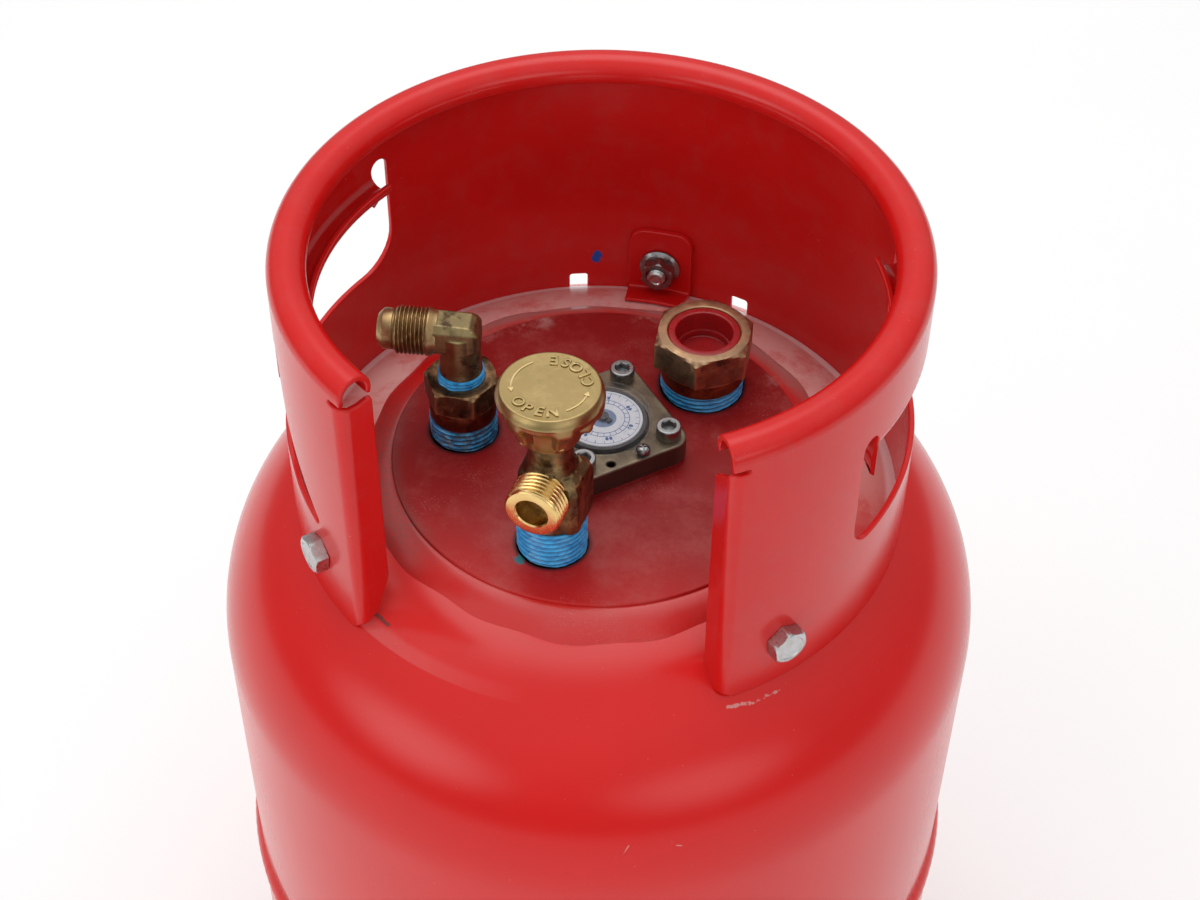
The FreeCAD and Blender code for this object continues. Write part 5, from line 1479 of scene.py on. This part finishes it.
def carve(obj, shapes):
    """Cuts shapes out of a piece."""
    cutter = build("cutter", shapes, SCREW_STEEL)
    cutter.parent = None
    knife = obj.modifiers.new("slots", "BOOLEAN")
    knife.operation = "DIFFERENCE"
    knife.solver = "EXACT"
    knife.use_self = True
    knife.object = cutter
    bpy.context.view_layer.update()
    settle(obj)
    bpy.data.objects.remove(cutter)
    obj.data.set_sharp_from_angle(angle=math.radians(32))


def stroke(azimuth, near, far, width, z):
    """A printed radial line on the dial."""
    plan = [(-width / 2, -near), (-width / 2, -far), (width / 2, -far), (width / 2, -near)]
    line = loft([[(px, py, h) for px, py in plan] for h in (z, z + 0.06)])
    return turn(line, azimuth, (GAUGE.x, GAUGE.y, 0))


# ------------------------------------------------------------------ stage

def floor():
    """A plain pale floor."""
    half = 3.0
    corners = [(-half, -half, 0), (half, -half, 0), (half, half, 0), (-half, half, 0)]
    mesh = bpy.data.meshes.new("floor")
    mesh.from_pydata(corners, [], [(0, 1, 2, 3)])
    obj = bpy.data.objects.new("floor", mesh)
    bpy.context.scene.collection.objects.link(obj)
    look = Look("pale_floor", specular_ior_level=0.1)
    colour = look.ramp(look.noise(400, 2), (0.3, (0.955, 0.955, 0.955)), (0.7, (0.975, 0.975, 0.975)))
    look.wear(colour, look.ramp(look.noise(50, 2), (0.3, 0.85), (0.7, 0.95)))
    mesh.materials.append(look.material)
    return obj


def lamp(name, at, target, size, power):
    """A large lamp whose light fades towards its edges, so reflections of it stay soft."""
    light = bpy.data.lights.new(name, "AREA")
    light.shape = "RECTANGLE"
    light.size, light.size_y = size
    light.energy = power
    light.use_nodes = True
    tree = light.node_tree
    place = tree.nodes.new("ShaderNodeNewGeometry")
    middle = tree.nodes.new("ShaderNodeVectorMath")
    middle.operation = "DISTANCE"
    middle.inputs[1].default_value = (0.5, 0.5, 0)
    tree.links.new(place.outputs["Parametric"], middle.inputs[0])
    fade = tree.nodes.new("ShaderNodeMapRange")
    fade.interpolation_type = "SMOOTHSTEP"
    fade.inputs["From Min"].default_value = 0.08
    fade.inputs["From Max"].default_value = 0.5
    fade.inputs["To Min"].default_value = 1.0
    fade.inputs["To Max"].default_value = 0.0
    tree.links.new(middle.outputs["Value"], fade.inputs["Value"])
    tree.links.new(fade.outputs[0], tree.nodes["Emission"].inputs["Strength"])
    obj = bpy.data.objects.new(name, light)
    bpy.context.scene.collection.objects.link(obj)
    obj.location = at
    obj.rotation_euler = (Vector(target) - Vector(at)).to_track_quat("-Z", "Y").to_euler()
    return obj


def studio():
    """Soft lamps and an even, pale world."""
    aim_at = (0, 0, 0.45)
    lights = [lamp("left_box", (-1.45, -1.8, 1.15), aim_at, (3.2, 1.5), 37),
              lamp("right_box", (1.5, -1.75, 1.05), aim_at, (3.0, 1.4), 21),
              lamp("top_box", (-0.3, 0.6, 2.5), aim_at, (2.6, 2.6), 52)]
    world = bpy.data.worlds.new("studio")
    world.use_nodes = True
    tree = world.node_tree
    place = tree.nodes.new("ShaderNodeTexCoord")
    split = tree.nodes.new("ShaderNodeSeparateXYZ")
    tree.links.new(place.outputs["Generated"], split.inputs[0])
    ramp = tree.nodes.new("ShaderNodeValToRGB")
    tree.links.new(split.outputs["Z"], ramp.inputs[0])
    ramp.color_ramp.elements[0].position = 0.05
    ramp.color_ramp.elements[0].color = (0.28, 0.28, 0.28, 1)
    ramp.color_ramp.elements[1].position = 0.75
    ramp.color_ramp.elements[1].color = (0.94, 0.94, 0.94, 1)
    tree.links.new(ramp.outputs[0], tree.nodes["Background"].inputs["Color"])
    tree.nodes["Background"].inputs["Strength"].default_value = 1.0
    bpy.context.scene.world = world
    floor()


def camera():
    """Looks down at the valve from the front right, as the photograph does."""
    yaw, pitch, roll = math.radians(12.7), math.radians(44.66), 0.0082
    ahead = Vector((-math.sin(yaw) * math.cos(pitch), math.cos(yaw) * math.cos(pitch), -math.sin(pitch)))
    right = Vector((math.cos(yaw), math.sin(yaw), 0))
    up = right.cross(ahead)
    tilted_right = right * math.cos(roll) + up * math.sin(roll)
    tilted_up = up * math.cos(roll) - right * math.sin(roll)
    data = bpy.data.cameras.new("camera")
    data.sensor_width = 36
    data.lens = 63.78
    data.clip_end = 20
    obj = bpy.data.objects.new("camera", data)
    place = Matrix((tilted_right, tilted_up, -ahead)).transposed().to_4x4()
    place.translation = Vector((0.1312, -0.5821, PLATE * MM + 0.5887))
    obj.matrix_world = place
    bpy.context.scene.collection.objects.link(obj)
    bpy.context.scene.camera = obj


def dress_cad():
    """Gives the CAD nodes that still show, nearly all of them inside the tank, their finishes."""
    slots = {s["node"]: s["material_slot"] for s in frame["record"]["subparts"]}
    for name, obj in frame["nodes"].items():
        obj.data.materials.clear()
        obj.data.materials.append(CAD_FINISH[slots[name]])


dress_cad()
vessel()
beads()
plate()
foot()
collar()
brackets()
fixings()
service_valve()
handwheel()
fill_connection()
relief_valve()
gauge()
camera()
studio()
bpy.context.scene.view_settings.view_transform = "Standard"
